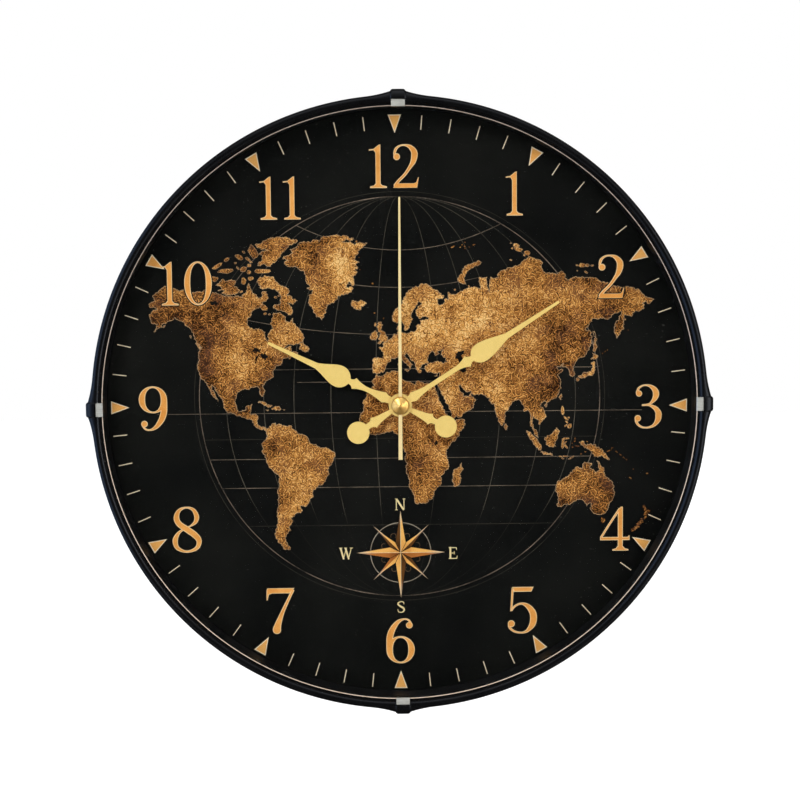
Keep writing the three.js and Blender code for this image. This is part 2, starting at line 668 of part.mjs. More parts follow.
const postTop = (from, place, radius = POST_RADIUS, segments = 6) => rod(
  radius, from, innerFront + HOUSING_FRONT / 2, place, segments,
);
const plateEdge = innerHalf - SEAT_GAP;
const plateHigh = coilHeight - COIL_RADIUS - BOBBIN_WALL - 2 * SEAT_GAP;
const plateLow = bayTop + BAY_WALL + SEAT_GAP;
const platePosts = [-1, 1].flatMap((side) => [plateLow + 2 * POST_RADIUS, plateHigh - 2 * POST_RADIUS].map(
  (height) => new THREE.Vector2(side * (plateEdge - 2 * POST_RADIUS), height),
));
const coreEnds = [statorLeft, statorRight].map((x, i) => new THREE.Vector2(
  x + (i ? -1 : 1) * STATOR_LEG / 2, coilHeight,
));
const boardRight = statorLeft - 2 * SEAT_GAP;
const boardLeft = boardRight - BOARD_WIDTH;
const boardTop = housingTop - HOUSING_WALL - 2 * SEAT_GAP - CONTACT_SHEET;
const boardLow = boardTop - BOARD_TALL;
const boardFront = coreRear;
const boardPosts = [boardLeft + POST_RADIUS, boardRight - POST_RADIUS].map((x) => new THREE.Vector2(
  x, boardTop - POST_RADIUS,
));

// Front half of the movement: front wall with the bush groove, side walls, bay wall, posts and bearings.
function housingSolid() {
  const outline = roundedBox(-HOUSING_HALF, HOUSING_HALF, housingBottom, housingTop, HOUSING_CORNER);
  const room = roundedBox(
    -innerHalf, innerHalf, bayBottom, housingTop - HOUSING_WALL, HOUSING_CORNER - HOUSING_WALL,
  );
  const box = cut(slab(outline, coverEdge + SEAT_GAP, movementFront, 4), [
    slab(room, coverEdge - 1, innerFront, 4),
  ]);
  const bayEnd = contactInner - 2 * SEAT_GAP;
  const bayWall = block(
    -bayEnd, bayEnd, bayTop, bayTop + BAY_WALL, innerRear + SEAT_GAP, innerFront + HOUSING_FRONT / 2,
  );
  const thirdPost = layer(CENTRE_LAYER - PINION_OVERHANG - FIT_GAP);
  const knobPost = layer(MOTION_LAYER - PINION_OVERHANG - FIT_GAP);
  const posts = [
    ...platePosts.map((place) => postTop(plateFront + SEAT_GAP, place)),
    ...coreEnds.map((place) => postTop(coreFront + SEAT_GAP, place)),
    ...boardPosts.map((place) => postTop(boardFront + SEAT_GAP, place)),
    postTop(thirdPost, thirdAxis, ARBOR + FIT_GAP + BEARING_WALL, 8),
    postTop(layer(MOTION_LAYER + WHEEL_SHEET), motionAxis, ARBOR, 8),
    postTop(knobPost, knobAxis, KNOB_ARBOR + FIT_GAP + BEARING_WALL, 8),
  ];
  const collar = BUSH_RADIUS + BUSH_COLLAR + SEAT_GAP;
  const middle = (innerFront + movementFront) / 2;
  const collarHalf = BUSH_COLLAR_THICKNESS / 2 + SEAT_GAP;
  return cut(join([box, bayWall, ...posts]), [
    rod(BUSH_RADIUS + SEAT_GAP, innerFront - 1, movementFront + 1, centre, 16),
    rod(collar, middle - collarHalf, middle + collarHalf, centre, 16),
    rod(ARBOR + FIT_GAP, thirdPost - 1, innerFront, thirdAxis, 8),
    rod(KNOB_ARBOR + FIT_GAP, layer(MOTION_LAYER + 1), innerFront, knobAxis, 8),
  ]);
}

// Rear half of the movement: cover with the open battery bay, knob hole and arbor bearings.
function coverSolid() {
  const outline = roundedBox(-HOUSING_HALF, HOUSING_HALF, housingBottom, housingTop, HOUSING_CORNER);
  const room = roundedBox(
    -innerHalf, innerHalf, bayBottom, housingTop - HOUSING_WALL, HOUSING_CORNER - HOUSING_WALL,
  );
  const box = cut(slab(outline, movementRear, coverEdge, 4), [slab(room, innerRear, coverEdge + 1, 4)]);
  const bearings = [centre, thirdAxis, fifthAxis, rotorAxis].map((place) => tube(
    ARBOR + FIT_GAP + BEARING_WALL, ARBOR + FIT_GAP, innerRear - COVER_WALL / 2, innerRear + BEARING_HEIGHT,
    8, place,
  ));
  return cut(join([box, ...bearings]), [
    block(-innerHalf, innerHalf, bayBottom, bayTop, movementRear - 1, innerRear + 1),
    rod(KNOB_ARBOR + FIT_GAP, movementRear - 1, innerRear + 1, knobAxis, 16),
  ]);
}

function plateSolid() {
  const shape = roundedBox(-plateEdge, plateEdge, plateLow, plateHigh, HOUSING_CORNER);
  const bores = [
    [SECOND_ARBOR, centre], [ARBOR, thirdAxis], [ARBOR, fifthAxis], [ARBOR, rotorAxis], [KNOB_ARBOR, knobAxis],
  ].map(([radius, place]) => rod(radius + FIT_GAP, plateRear - 1, plateFront + 1, place, 8));
  return cut(slab(shape, plateRear, plateFront, 4), bores);
}

function bushSolid() {
  const middle = (innerFront + movementFront) / 2;
  const half = BUSH_COLLAR_THICKNESS / 2;
  const bore = HOUR_PIPE + FIT_GAP;
  return turned([
    [bore, innerFront], [BUSH_RADIUS, innerFront], [BUSH_RADIUS, middle - half],
    [BUSH_RADIUS + BUSH_COLLAR, middle - half], [BUSH_RADIUS + BUSH_COLLAR, middle + half],
    [BUSH_RADIUS, middle + half], [BUSH_RADIUS, bushEnd], [bore, bushEnd],
  ], 16);
}

function nutSolid() {
  const hex = new THREE.CylinderGeometry(NUT_FLATS / Math.sqrt(3), NUT_FLATS / Math.sqrt(3), NUT_THICKNESS, 6);
  hex.rotateX(Math.PI / 2);
  hex.translate(0, 0, nutRear + NUT_THICKNESS / 2);
  return cut(toSolid(hex), [rod(BUSH_RADIUS + FIT_GAP, nutRear - 1, nutRear + NUT_THICKNESS + 1, centre, 16)]);
}

// Stepping motor: stator with the rotor hole, core strip, bobbin and winding.
function statorSolid() {
  const top = coilHeight + CORE_HALF;
  const low = rotorAxis.y - STATOR_HALF;
  const high = rotorAxis.y + STATOR_HALF;
  const shape = new THREE.Shape();
  shape.moveTo(statorLeft, low + STATOR_HALF);
  shape.lineTo(statorLeft + STATOR_HALF, low);
  shape.lineTo(statorRight - STATOR_HALF, low);
  shape.lineTo(statorRight, low + STATOR_HALF);
  shape.lineTo(statorRight, top);
  shape.lineTo(statorRight - STATOR_LEG, top);
  shape.lineTo(statorRight - STATOR_LEG, high);
  shape.lineTo(statorLeft + STATOR_LEG, high);
  shape.lineTo(statorLeft + STATOR_LEG, top);
  shape.lineTo(statorLeft, top);
  const hole = rod(MAGNET_RADIUS + STATOR_GAP, statorRear - 1, statorFront + 1, rotorAxis, 16);
  return cut(slab(shape, statorRear, statorFront), [hole]);
}

const coreSolid = () => block(
  statorLeft, statorRight, coilHeight - CORE_HALF, coilHeight + CORE_HALF, coreRear, coreFront,
);

// Rods along x for the bobbin, its winding and the crystal.
function lengthways(radius, left, right, height, depth, segments = 10) {
  const geometry = new THREE.CylinderGeometry(radius, radius, right - left, segments);
  geometry.rotateZ(Math.PI / 2);
  geometry.translate((left + right) / 2, height, depth);
  return toSolid(geometry);
}

function bobbinSolid() {
  const flange = COIL_RADIUS + BOBBIN_WALL / 2;
  const spool = join([
    lengthways(bobbinTube, bobbinLeft, bobbinRight, coilHeight, coilDepth),
    lengthways(flange, bobbinLeft, bobbinLeft + BOBBIN_WALL, coilHeight, coilDepth),
    lengthways(flange, bobbinRight - BOBBIN_WALL, bobbinRight, coilHeight, coilDepth),
  ]);
  return cut(spool, [block(
    bobbinLeft - 1, bobbinRight + 1, coilHeight - bobbinBore, coilHeight + bobbinBore,
    coreRear - FIT_GAP, coreFront + FIT_GAP,
  )]);
}

function windingSolid() {
  const left = bobbinLeft + BOBBIN_WALL + FIT_GAP;
  const right = bobbinRight - BOBBIN_WALL - FIT_GAP;
  return cut(lengthways(COIL_RADIUS, left, right, coilHeight, coilDepth), [
    lengthways(bobbinTube + FIT_GAP, left - 1, right + 1, coilHeight, coilDepth),
  ]);
}

const boardSolid = () => slab(
  roundedBox(boardLeft, boardRight, boardLow, boardTop, 1), boardFront - BOARD_SHEET, boardFront, 3,
);

function chipSolid() {
  const rear = boardFront + FIT_GAP;
  const place = new THREE.Vector2(boardLeft + BOARD_WIDTH / 2, boardLow + CHIP_RADIUS + 1);
  const points = [new THREE.Vector2(0, rear)];
  for (let i = 0; i <= 4; i += 1) {
    const t = Math.PI / 2 * i / 4;
    points.push(new THREE.Vector2(CHIP_RADIUS * Math.cos(t), rear + CHIP_HEIGHT * Math.sin(t)));
  }
  points[points.length - 1].x = 0;
  const geometry = new THREE.LatheGeometry(points, 10);
  geometry.rotateX(Math.PI / 2);
  geometry.translate(place.x, place.y, 0);
  return toSolid(geometry);
}

function crystalSolid() {
  const middle = boardLeft + BOARD_WIDTH / 2;
  return lengthways(
    CRYSTAL_RADIUS, middle - CRYSTAL_LENGTH / 2, middle + CRYSTAL_LENGTH / 2,
    boardTop - 2 * POST_RADIUS - CRYSTAL_RADIUS - 1, boardFront + FIT_GAP + CRYSTAL_RADIUS, 8,
  );
}

// Cylindrical cell: sleeve with rounded shoulders and the raised positive end.
function cellSolid() {
  const body = CELL_LENGTH - CELL_NUB;
  const outline = [
    [0, 0], [CELL_RADIUS - CELL_BEVEL, 0], [CELL_RADIUS, CELL_BEVEL], [CELL_RADIUS, body - CELL_BEVEL],
    [CELL_RADIUS - CELL_BEVEL, body], [CELL_NUB_RADIUS, body], [CELL_NUB_RADIUS, CELL_LENGTH], [0, CELL_LENGTH],
  ];
  const points = outline.map(([radius, along]) => new THREE.Vector2(radius, along));
  const geometry = new THREE.LatheGeometry(points, 16);
  geometry.rotateZ(-Math.PI / 2);
  geometry.translate(cellTail, cellHeight, cellDepth);
  return toSolid(geometry);
}

// Contact strips: each stands in the bay against one end of the cell and runs along the walls to the board.
function strip(points) {
  const path = points.map(([x, y]) => new THREE.Vector2(x, y));
  const left = [];
  const right = [];
  path.forEach((point, i) => {
    const before = path[Math.max(i - 1, 0)];
    const after = path[Math.min(i + 1, path.length - 1)];
    const into = point.clone().sub(before).normalize();
    const out = after.clone().sub(point).normalize();
    const along = i === 0 ? out : into;
    const ahead = i === path.length - 1 ? into : out;
    const across = new THREE.Vector2(-along.y - ahead.y, along.x + ahead.x).normalize();
    const reach = CONTACT_SHEET / 2 / across.dot(new THREE.Vector2(-along.y, along.x));
    left.push(point.clone().addScaledVector(across, reach));
    right.push(point.clone().addScaledVector(across, -reach));
  });
  return slab(new THREE.Shape([...right, ...left.reverse()]), contactRear, contactFront);
}

const contactFront = plateRear - SEAT_GAP;
const contactRear = contactFront - CONTACT_WIDTH;
const contactLine = contactOuter - CONTACT_SHEET / 2;
const contactLow = bayBottom + SEAT_GAP;
const contactTop = housingTop - HOUSING_WALL - SEAT_GAP - CONTACT_SHEET / 2;

const positiveContactSolid = () => strip([
  [contactLine, contactLow + HOUSING_CORNER], [contactLine, contactTop - HOUSING_CORNER],
  [contactLine - HOUSING_CORNER, contactTop], [boardRight - POST_RADIUS, contactTop],
]);

function negativeContactSolid() {
  const bow = cellTail - SEAT_GAP - CONTACT_SHEET / 2;
  return strip([
    [-contactLine, contactLow + HOUSING_CORNER], [bow, cellHeight], [-contactLine, bayTop],
    [-contactLine, boardLow],
    [boardLeft - SEAT_GAP - CONTACT_SHEET / 2, boardLow + POST_RADIUS],
    [boardLeft - SEAT_GAP - CONTACT_SHEET / 2, boardTop],
  ]);
}

// Spade hands: half an outline from the tail to the tip, mirrored, with a round hub and tail disc.
function mirrored(path, divisions) {
  const half = path.getPoints(divisions);
  const other = half.filter((point) => point.x > 1e-6).map((point) => new THREE.Vector2(-point.x, point.y));
  return new THREE.Shape([...half, ...other.reverse()]);
}

function spadeShape(hand) {
  const path = new THREE.Path();
  path.moveTo(hand.tailNeckHalf, -hand.disc);
  path.lineTo(hand.tailNeckHalf, -hand.tailNeck);
  path.quadraticCurveTo(hand.tailNeckHalf, -hand.tailCollar - 0.5, hand.tailCollarHalf, -hand.tailCollar);
  path.quadraticCurveTo(hand.shaftHalf + 0.6, -hand.tailCollar + 1.2, hand.shaftHalf, -HAND_HUB);
  path.lineTo(hand.shaftHalf, 0);
  path.lineTo(hand.shoulderHalf * 0.7, hand.shoulder - 1.5);
  path.lineTo(hand.shoulderHalf, hand.shoulder);
  path.quadraticCurveTo(hand.shaftHalf + 0.5, hand.shoulder + 3, hand.shaftHalf, hand.shoulder + 8);
  path.lineTo(hand.shaftHalf, hand.collar - 6);
  path.quadraticCurveTo(hand.shaftHalf + 0.5, hand.collar - 2.2, hand.collarHalf, hand.collar);
  path.quadraticCurveTo(hand.neckHalf, hand.collar + 0.6, hand.neckHalf, hand.neck);
  path.bezierCurveTo(
    hand.neckHalf + 1.2, hand.neck + 0.4, hand.bulgeHalf, hand.bulge - 3.4, hand.bulgeHalf, hand.bulge,
  );
  path.bezierCurveTo(
    hand.bulgeHalf, hand.bulge + 3.8, hand.ogeeHalf + 1.3, hand.ogee - 5, hand.ogeeHalf, hand.ogee,
  );
  path.lineTo(hand.tipHalf, hand.length - hand.tipHalf);
  path.lineTo(0, hand.length);
  return mirrored(path, 3);
}

function spadeSolid(hand, bore, rear) {
  const front = rear + HAND_SHEET;
  const blade = join([
    slab(spadeShape(hand), rear, front),
    rod(HAND_HUB, rear, front, centre, 18),
    rod(hand.discRadius, rear, front, new THREE.Vector2(0, -hand.disc), 18),
  ]);
  return cut(blade, [rod(bore, rear - 1, front + 1)]);
}

function secondHandSolid() {
  const path = new THREE.Path();
  path.moveTo(SECOND_TAIL_HALF, -SECOND_TAIL);
  path.lineTo(SECOND_ROOT_HALF, 0);
  path.lineTo(SECOND_TIP_HALF, SECOND_LENGTH - SECOND_TIP_HALF);
  path.lineTo(0, SECOND_LENGTH);
  const blade = join([
    slab(mirrored(path, 2), secondHandRear, secondHandFront),
    rod(SECOND_HUB, secondHandRear, secondHandFront, centre, 12),
  ]);
  return cut(blade, [rod(SECOND_ARBOR + FIT_GAP, secondHandRear - 1, secondHandFront + 1, centre, 12)]);
}

function capSolid() {
  const outline = [
    [0, capRear], [CAP_RADIUS, capRear], [CAP_RADIUS, capRear + CAP_FOOT],
    [CAP_RADIUS - CAP_BEVEL, capRear + CAP_FOOT + CAP_BEVEL],
    [CAP_TIP, capFront - CAP_TIP / 2], [0, capFront],
  ];
  const points = outline.map(([radius, depth]) => new THREE.Vector2(radius, depth));
  const geometry = new THREE.LatheGeometry(points, 20);
  geometry.rotateX(Math.PI / 2);
  return toSolid(geometry);
}

// Looks
const look = (color, roughness, metalness) => new THREE.MeshStandardMaterial({ color, roughness, metalness });
const BLACK_GLOSS = [0x141416, 0.28, 0];
const BLACK_MATT = [0x17181a, 0.6, 0];
const BRIGHT_STEEL = [0xc8c8c2, 0.3, 1];
const GLASS = [0xf2f6f8, 0.02, 0];
const DIAL_PRINT = [0x121210, 0.55, 0];
const GOLD = [0xeed680, 0.35, 1];
const BRASS = [0xd0a94a, 0.25, 1];
const RUBBER = [0x1c1c1c, 0.9, 0];
const MOVEMENT_PLASTIC = [0x1e1e20, 0.5, 0];
const PLATE_PLASTIC = [0xe8e6dc, 0.5, 0];
const GEAR_WHITE = [0xefece2, 0.45, 0];
const GEAR_BRASS = [0xc9a24a, 0.35, 1];
const MAGNET = [0x3a3a3d, 0.5, 0.8];
const STATOR_STEEL = [0x9a9ca0, 0.4, 1];
const COPPER = [0xb4622e, 0.35, 1];
const BOARD_GREEN = [0x245c36, 0.5, 0];
const CHIP_BLACK = [0x101010, 0.4, 0];
const CELL_SLEEVE = [0x2f3a40, 0.4, 0.2];
const CONTACT_STEEL = [0xb9bbbd, 0.3, 1];

const clock = new THREE.Group();
const lying = new THREE.Group();
lying.rotation.x = Math.PI / 2;
lying.position.y = clockFront / 2;
clock.add(lying);

function place(name, solid, finish, parent = lying) {
  const mesh = new THREE.Mesh(toGeometry(solid), look(...finish));
  mesh.name = name;
  parent.add(mesh);
}

function handGroup(bearing) {
  const group = new THREE.Group();
  group.rotation.z = -radians(bearing);
  lying.add(group);
  return group;
}

place('front_bezel', bezelSolid(), BLACK_GLOSS);
place('clip_3', clipSolid(0), BRIGHT_STEEL);
place('clip_12', clipSolid(90), BRIGHT_STEEL);
place('clip_9', clipSolid(180), BRIGHT_STEEL);
place('clip_6', clipSolid(270), BRIGHT_STEEL);
place('lens', rod(caseOuter, lensRear, lensFront, centre, 48), GLASS);
place('dial', cut(rod(caseInner - SEAT_GAP, dialRear, dialFront, centre, 48), [
  rod(BUSH_RADIUS + SEAT_GAP, dialRear - 1, dialFront + 1, centre, 16),
]), DIAL_PRINT);
place('back_case', caseSolid(), BLACK_MATT);
place('rubber_gasket', tube(
  GASKET_RADIUS, BUSH_RADIUS + FIT_GAP, gasketRear, gasketRear + GASKET_THICKNESS, 12,
), RUBBER);
place('dial_washer', tube(
  WASHER_RADIUS, BUSH_RADIUS + FIT_GAP, washerRear, washerRear + WASHER_THICKNESS, 12,
), BRASS);
place('hex_nut', nutSolid(), BRASS);
place('centre_bush', bushSolid(), BRASS);
place('movement_housing', housingSolid(), MOVEMENT_PLASTIC);
place('movement_cover', coverSolid(), MOVEMENT_PLASTIC);
place('middle_plate', plateSolid(), PLATE_PLASTIC);
place('hour_wheel', hourWheelSolid(), GEAR_WHITE);
place('minute_arbor', minuteArborSolid(), GEAR_BRASS);
place('centre_wheel', centreWheelSolid(), GEAR_WHITE);
place('third_wheel', thirdWheelSolid(), GEAR_WHITE);
place('second_wheel', secondWheelSolid(), GEAR_WHITE);
place('fifth_wheel', fifthWheelSolid(), GEAR_WHITE);
place('rotor_pinion', rotorSolid(), GEAR_WHITE);
place('rotor_magnet', magnetSolid(), MAGNET);
place('motion_wheel', motionWheelSolid(), GEAR_WHITE);
place('setting_arbor', settingArborSolid(), GEAR_WHITE);
place('setting_knob', knobSolid(), MOVEMENT_PLASTIC);
place('stator', statorSolid(), STATOR_STEEL);
place('coil_core', coreSolid(), STATOR_STEEL);
place('coil_bobbin', bobbinSolid(), PLATE_PLASTIC);
place('coil_winding', windingSolid(), COPPER);
place('circuit_board', boardSolid(), BOARD_GREEN);
place('chip', chipSolid(), CHIP_BLACK);
place('crystal', crystalSolid(), CONTACT_STEEL);
place('cell', cellSolid(), CELL_SLEEVE);
place('positive_contact', positiveContactSolid(), CONTACT_STEEL);
place('negative_contact', negativeContactSolid(), CONTACT_STEEL);
place('hour_hand', spadeSolid(HOUR_HAND, HOUR_PIPE + FIT_GAP, hourHandRear), GOLD, handGroup(HOUR_ANGLE));
place(
  'minute_hand', spadeSolid(MINUTE_HAND, MINUTE_PIPE + FIT_GAP, minuteHandRear), GOLD, handGroup(MINUTE_ANGLE),
);
place('second_hand', secondHandSolid(), GOLD, handGroup(SECOND_ANGLE));
place('second_cap', capSolid(), BRASS, handGroup(SECOND_ANGLE));

export default clock;
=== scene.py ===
# %% [markdown]
# A round wall clock with a world map dial, dressed over its solid model.
# The solid model is loaded first as a fixed frame, and every piece made here
# goes where that frame says. Lengths in this file are millimetres until a mesh
# or a material is made.

# %% Load the frame
import math
import random

import bmesh
import bpy
from mathutils import Matrix, Vector
from mathutils.geometry import delaunay_2d_cdt


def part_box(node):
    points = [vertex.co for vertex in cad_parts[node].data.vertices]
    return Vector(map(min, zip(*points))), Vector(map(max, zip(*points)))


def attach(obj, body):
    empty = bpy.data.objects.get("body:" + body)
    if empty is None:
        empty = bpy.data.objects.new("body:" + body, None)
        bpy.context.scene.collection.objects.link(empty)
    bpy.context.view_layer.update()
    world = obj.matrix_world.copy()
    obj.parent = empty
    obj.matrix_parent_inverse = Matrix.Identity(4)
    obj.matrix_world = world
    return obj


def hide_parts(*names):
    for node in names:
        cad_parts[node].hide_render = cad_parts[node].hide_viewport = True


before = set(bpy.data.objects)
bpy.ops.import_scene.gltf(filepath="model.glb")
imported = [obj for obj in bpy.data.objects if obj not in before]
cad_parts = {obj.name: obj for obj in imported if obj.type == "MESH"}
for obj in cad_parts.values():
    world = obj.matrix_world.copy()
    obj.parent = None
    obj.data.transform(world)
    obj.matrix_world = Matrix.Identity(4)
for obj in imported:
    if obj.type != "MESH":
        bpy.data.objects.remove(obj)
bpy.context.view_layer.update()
MM = 0.001
WALL = 19.15


def forward(depth):
    """The y of a place that stands so many millimetres off the wall."""
    return WALL - depth


# %% [markdown]
# The photograph looks at the clock from a little above and a little left, from
# about three quarters of a metre. The camera is turned by half a degree, because
# the picture is. A long lens keeps the ring nearly round, as in the photograph.
# The camera could track an empty, but a worked-out turn is easier to compare.

# %% Camera
SENSOR, LENS, DISTANCE = 36, 69.017, 735
AIM = (-0.1957, -15, 3.1066)


def look_from(elevation, azimuth, roll):
    """Where the camera stands and how it is turned to look at the aim from there, in degrees."""
    e, a = math.radians(elevation), math.radians(azimuth)
    back = Vector((math.sin(a) * math.cos(e), -math.cos(a) * math.cos(e), math.sin(e)))
    tilted = Matrix.Rotation(math.radians(-roll), 4, "Z").to_quaternion()
    return Vector(AIM) * MM + back * DISTANCE * MM, back.to_track_quat("Z", "Y") @ tilted


camera_data = bpy.data.cameras.new("camera")
camera_data.sensor_width = SENSOR
camera_data.lens = LENS
camera = bpy.data.objects.new("camera", camera_data)
bpy.context.scene.collection.objects.link(camera)
camera.rotation_mode = "QUATERNION"
camera.location, camera.rotation_quaternion = look_from(elevation=5.0, azimuth=-0.9, roll=0.5)
bpy.context.scene.camera = camera
bpy.context.scene.view_settings.view_transform = "Standard"
print("camera at", [round(v, 3) for v in camera.location])


# %% [markdown]
# The world is a white room. Flat glass mirrors what stands in front of it, so mirrored
# rays meet a dark end behind the camera, and that keeps the black dial black. To the
# sides they meet panels, one above, one on the right, a bluish one on the left and a dim hoop
# that is open below. They show as soft bands on the bezel and as light and shade round the
# brass cap. All other light from the room is even, and the camera always sees plain white.

# %% Small node helpers
def add(tree, kind, inputs=None, **settings):
    """A node with its settings, and with a value or a link for each named input."""
    node = tree.nodes.new(kind)
    for key, value in settings.items():
        setattr(node, key, value)
    for key, value in (inputs or {}).items():
        if isinstance(value, bpy.types.NodeSocket):
            tree.links.new(value, node.inputs[key])
        else:
            node.inputs[key].default_value = value
    return node


def feed(value, node, name):
    """A link from a value to a named input of a node."""
    node.id_data.links.new(value, node.inputs[name])


def maths(tree, operation, a, b=0.0, clamp=False):
    return add(tree, "ShaderNodeMath", {0: a, 1: b}, operation=operation, use_clamp=clamp).outputs[0]


def span(tree, value, low, high, to_low=0.0, to_high=1.0, smooth=False):
    """A value from low to high, stretched to another range and held at its ends."""
    node = add(tree, "ShaderNodeMapRange", {
        "Value": value, "From Min": low, "From Max": high, "To Min": to_low, "To Max": to_high})
    node.interpolation_type = "SMOOTHSTEP" if smooth else "LINEAR"
    return node.outputs["Result"]


def total(tree, first, *others):
    for other in others:
        first = maths(tree, "ADD", first, other)
    return first


def product(tree, first, *others):
    for other in others:
        first = maths(tree, "MULTIPLY", first, other)
    return first


def vectors(tree, operation, *inputs):
    node = add(tree, "ShaderNodeVectorMath", dict(enumerate(inputs)), operation=operation)
    return node.outputs["Value" if operation == "DISTANCE" else "Vector"]


def blend(tree, share, a, b):
    """Colour a, turning to colour b by the share."""
    return add(tree, "ShaderNodeMix", {0: share, 6: a, 7: b}, data_type="RGBA").outputs[2]


def srgb(red, green, blue):
    """A colour as a picture gives it, 0 to 255, as the linear colour that a shader takes."""
    def linear(c):
        c /= 255
        return c / 12.92 if c <= 0.04045 else ((c + 0.055) / 1.055) ** 2.4
    return (linear(red), linear(green), linear(blue), 1.0)


# %% White room
ROOM_LIGHT = 0.66
world = bpy.data.worlds.new("white_room")
bpy.context.scene.world = world
world.use_nodes = True
room = world.node_tree
room.nodes.clear()
facing = add(room, "ShaderNodeSeparateXYZ", {0: add(room, "ShaderNodeTexCoord").outputs["Generated"]})
bearing = maths(room, "ARCTAN2", facing.outputs["X"], facing.outputs["Z"])


def panel(middle, full, end, depths, brightness):
    """A bright panel of the wall: even as far as full from its bearing, gone at end (radians).
    Towards the front it fades between the first two values of Y, towards the rear between the others."""
    off = maths(room, "ABSOLUTE", maths(room, "SUBTRACT", bearing, middle))
    share = span(room, off, full, end, brightness, 0.0, smooth=True)
    before = span(room, facing.outputs["Y"], *depths[:2], smooth=True)
    behind = span(room, facing.outputs["Y"], *depths[2:], 1.0, 0.0, smooth=True)
    return product(room, share, before, behind)


left_panel = panel(-1.55, 0.4, 0.75, (-0.93, -0.75, 0.2, 0.6), 1.5)
top_panel = panel(0.0, 0.35, 0.7, (-0.96, -0.85, -0.55, -0.2), 0.7)
right_panel = panel(1.6, 0.35, 0.65, (-0.9, -0.82, -0.7, -0.6), 3.2)
dim_hoop = panel(0.0, 2.6, 2.85, (-0.78, -0.7, -0.58, -0.5), 0.9)
base_glow = span(room, facing.outputs["Y"], -0.95, -0.8, 0.0, 0.015)
side_wall = total(room, left_panel, top_panel, right_panel, dim_hoop, base_glow)
bluish = maths(room, "DIVIDE", left_panel, maths(room, "ADD", side_wall, 0.001))
wall_tint = blend(room, bluish, (0.86, 0.9, 1.0, 1), (0.3, 0.52, 1.0, 1))
rays = add(room, "ShaderNodeLightPath")
seen = rays.outputs["Is Camera Ray"]
mirrored_ray = maths(room, "MAXIMUM", rays.outputs["Is Glossy Ray"], rays.outputs["Is Transmission Ray"])
even = product(room, maths(room, "SUBTRACT", 1.0, mirrored_ray), ROOM_LIGHT)
lit = total(room, even, product(room, side_wall, mirrored_ray))
strength = maths(room, "MAXIMUM", lit, seen)
colour = blend(room, mirrored_ray, (1, 1, 1, 1), wall_tint)
backdrop = add(room, "ShaderNodeBackground", {"Color": colour, "Strength": strength})
out = add(room, "ShaderNodeOutputWorld")
feed(backdrop.outputs[0], out, "Surface")
print("room of", len(room.nodes), "nodes")


# %% [markdown]
# A product picture is lit by softboxes. Here they are four round area lamps in front of the
# clock, the strongest at the upper left, where the photograph has its light. A lamp would
# also show as a bright line on the glossy bezel, so the lamps are hidden from mirrored
# rays, and what the bezel mirrors is left to the panels of the room.

# %% Softboxes
BOX_WIDTH = 0.5


def softbox(name, place, watts, tint):
    data = bpy.data.lights.new(name, "AREA")
    data.shape, data.size, data.energy, data.color = "DISK", BOX_WIDTH, watts, tint
    lamp = bpy.data.objects.new(name, data)
    bpy.context.scene.collection.objects.link(lamp)
    lamp.location = place
    lamp.rotation_mode = "QUATERNION"
    lamp.rotation_quaternion = Vector(place).to_track_quat("Z", "Y")
    lamp.visible_glossy = False
    return lamp


lamps = [
    softbox("box_key", (-0.6, -1.5, 1.0), 11.4, (1.0, 0.985, 0.96)),
    softbox("box_right", (1.0, -1.5, 0.35), 4.4, (1.0, 0.99, 0.97)),
    softbox("box_low", (0.1, -1.5, -1.05), 3.0, (1.0, 0.99, 0.97)),
    softbox("box_left", (-1.05, -1.5, -0.2), 2.2, (0.94, 0.97, 1.0)),
]
print("softboxes", len(lamps), "none of them mirrored")


# %% [markdown]
# The floor lies half a metre below the clock's middle. It is pale and glows a little, so that
# it meets the white room without a line, and it still takes the clock's soft shadow.
# Mirrored rays miss it, so that glass and bezel show the room alone.

# %% Floor
SIDE, NEAR_EDGE, FAR_EDGE, LEVEL = 3, -0.2, 5, -0.5
floor_mesh = bpy.data.meshes.new("floor")
floor_mesh.from_pydata([(-SIDE, NEAR_EDGE, LEVEL), (SIDE, NEAR_EDGE, LEVEL), (SIDE, FAR_EDGE, LEVEL),
                        (-SIDE, FAR_EDGE, LEVEL)], [], [(0, 1, 2, 3)])
floor = bpy.data.objects.new("floor", floor_mesh)
bpy.context.scene.collection.objects.link(floor)
floor_paint = bpy.data.materials.new("floor_paint")
floor_paint.use_nodes = True
tree = floor_paint.node_tree
base = tree.nodes["Principled BSDF"]
base.inputs["Base Color"].default_value = (0.82, 0.82, 0.82, 1)
base.inputs["Roughness"].default_value = 0.9
base.inputs["Emission Color"].default_value = (1, 1, 1, 1)
floor_seen = add(tree, "ShaderNodeLightPath").outputs["Is Camera Ray"]
feed(product(tree, floor_seen, 0.58), base, "Emission Strength")
floor_mesh.materials.append(floor_paint)
floor.visible_glossy = floor.visible_transmission = False
print("floor", 2 * SIDE, "by", FAR_EDGE - NEAR_EDGE, "metres")


# %% [markdown]
# Some effects come back in many finishes, so each is a node group, built once and
# placed with its own values: cloudy colour in plastics and inks, fine grain on moulded
# and sprayed faces, drawn lines on sheet metal, and the crackle of the foil on the map.

# %% Group maker
def group(name, inputs, outputs):
    """An empty shader group. inputs and outputs are (name, kind, default) and (name, kind)."""
    tree = bpy.data.node_groups.new(name, "ShaderNodeTree")
    for label, kind, default in inputs:
        socket = tree.interface.new_socket(label, in_out="INPUT", socket_type="NodeSocket" + kind)
        socket.default_value = default
    for label, kind in outputs:
        tree.interface.new_socket(label, in_out="OUTPUT", socket_type="NodeSocket" + kind)
    return tree, tree.nodes.new("NodeGroupInput"), tree.nodes.new("NodeGroupOutput")


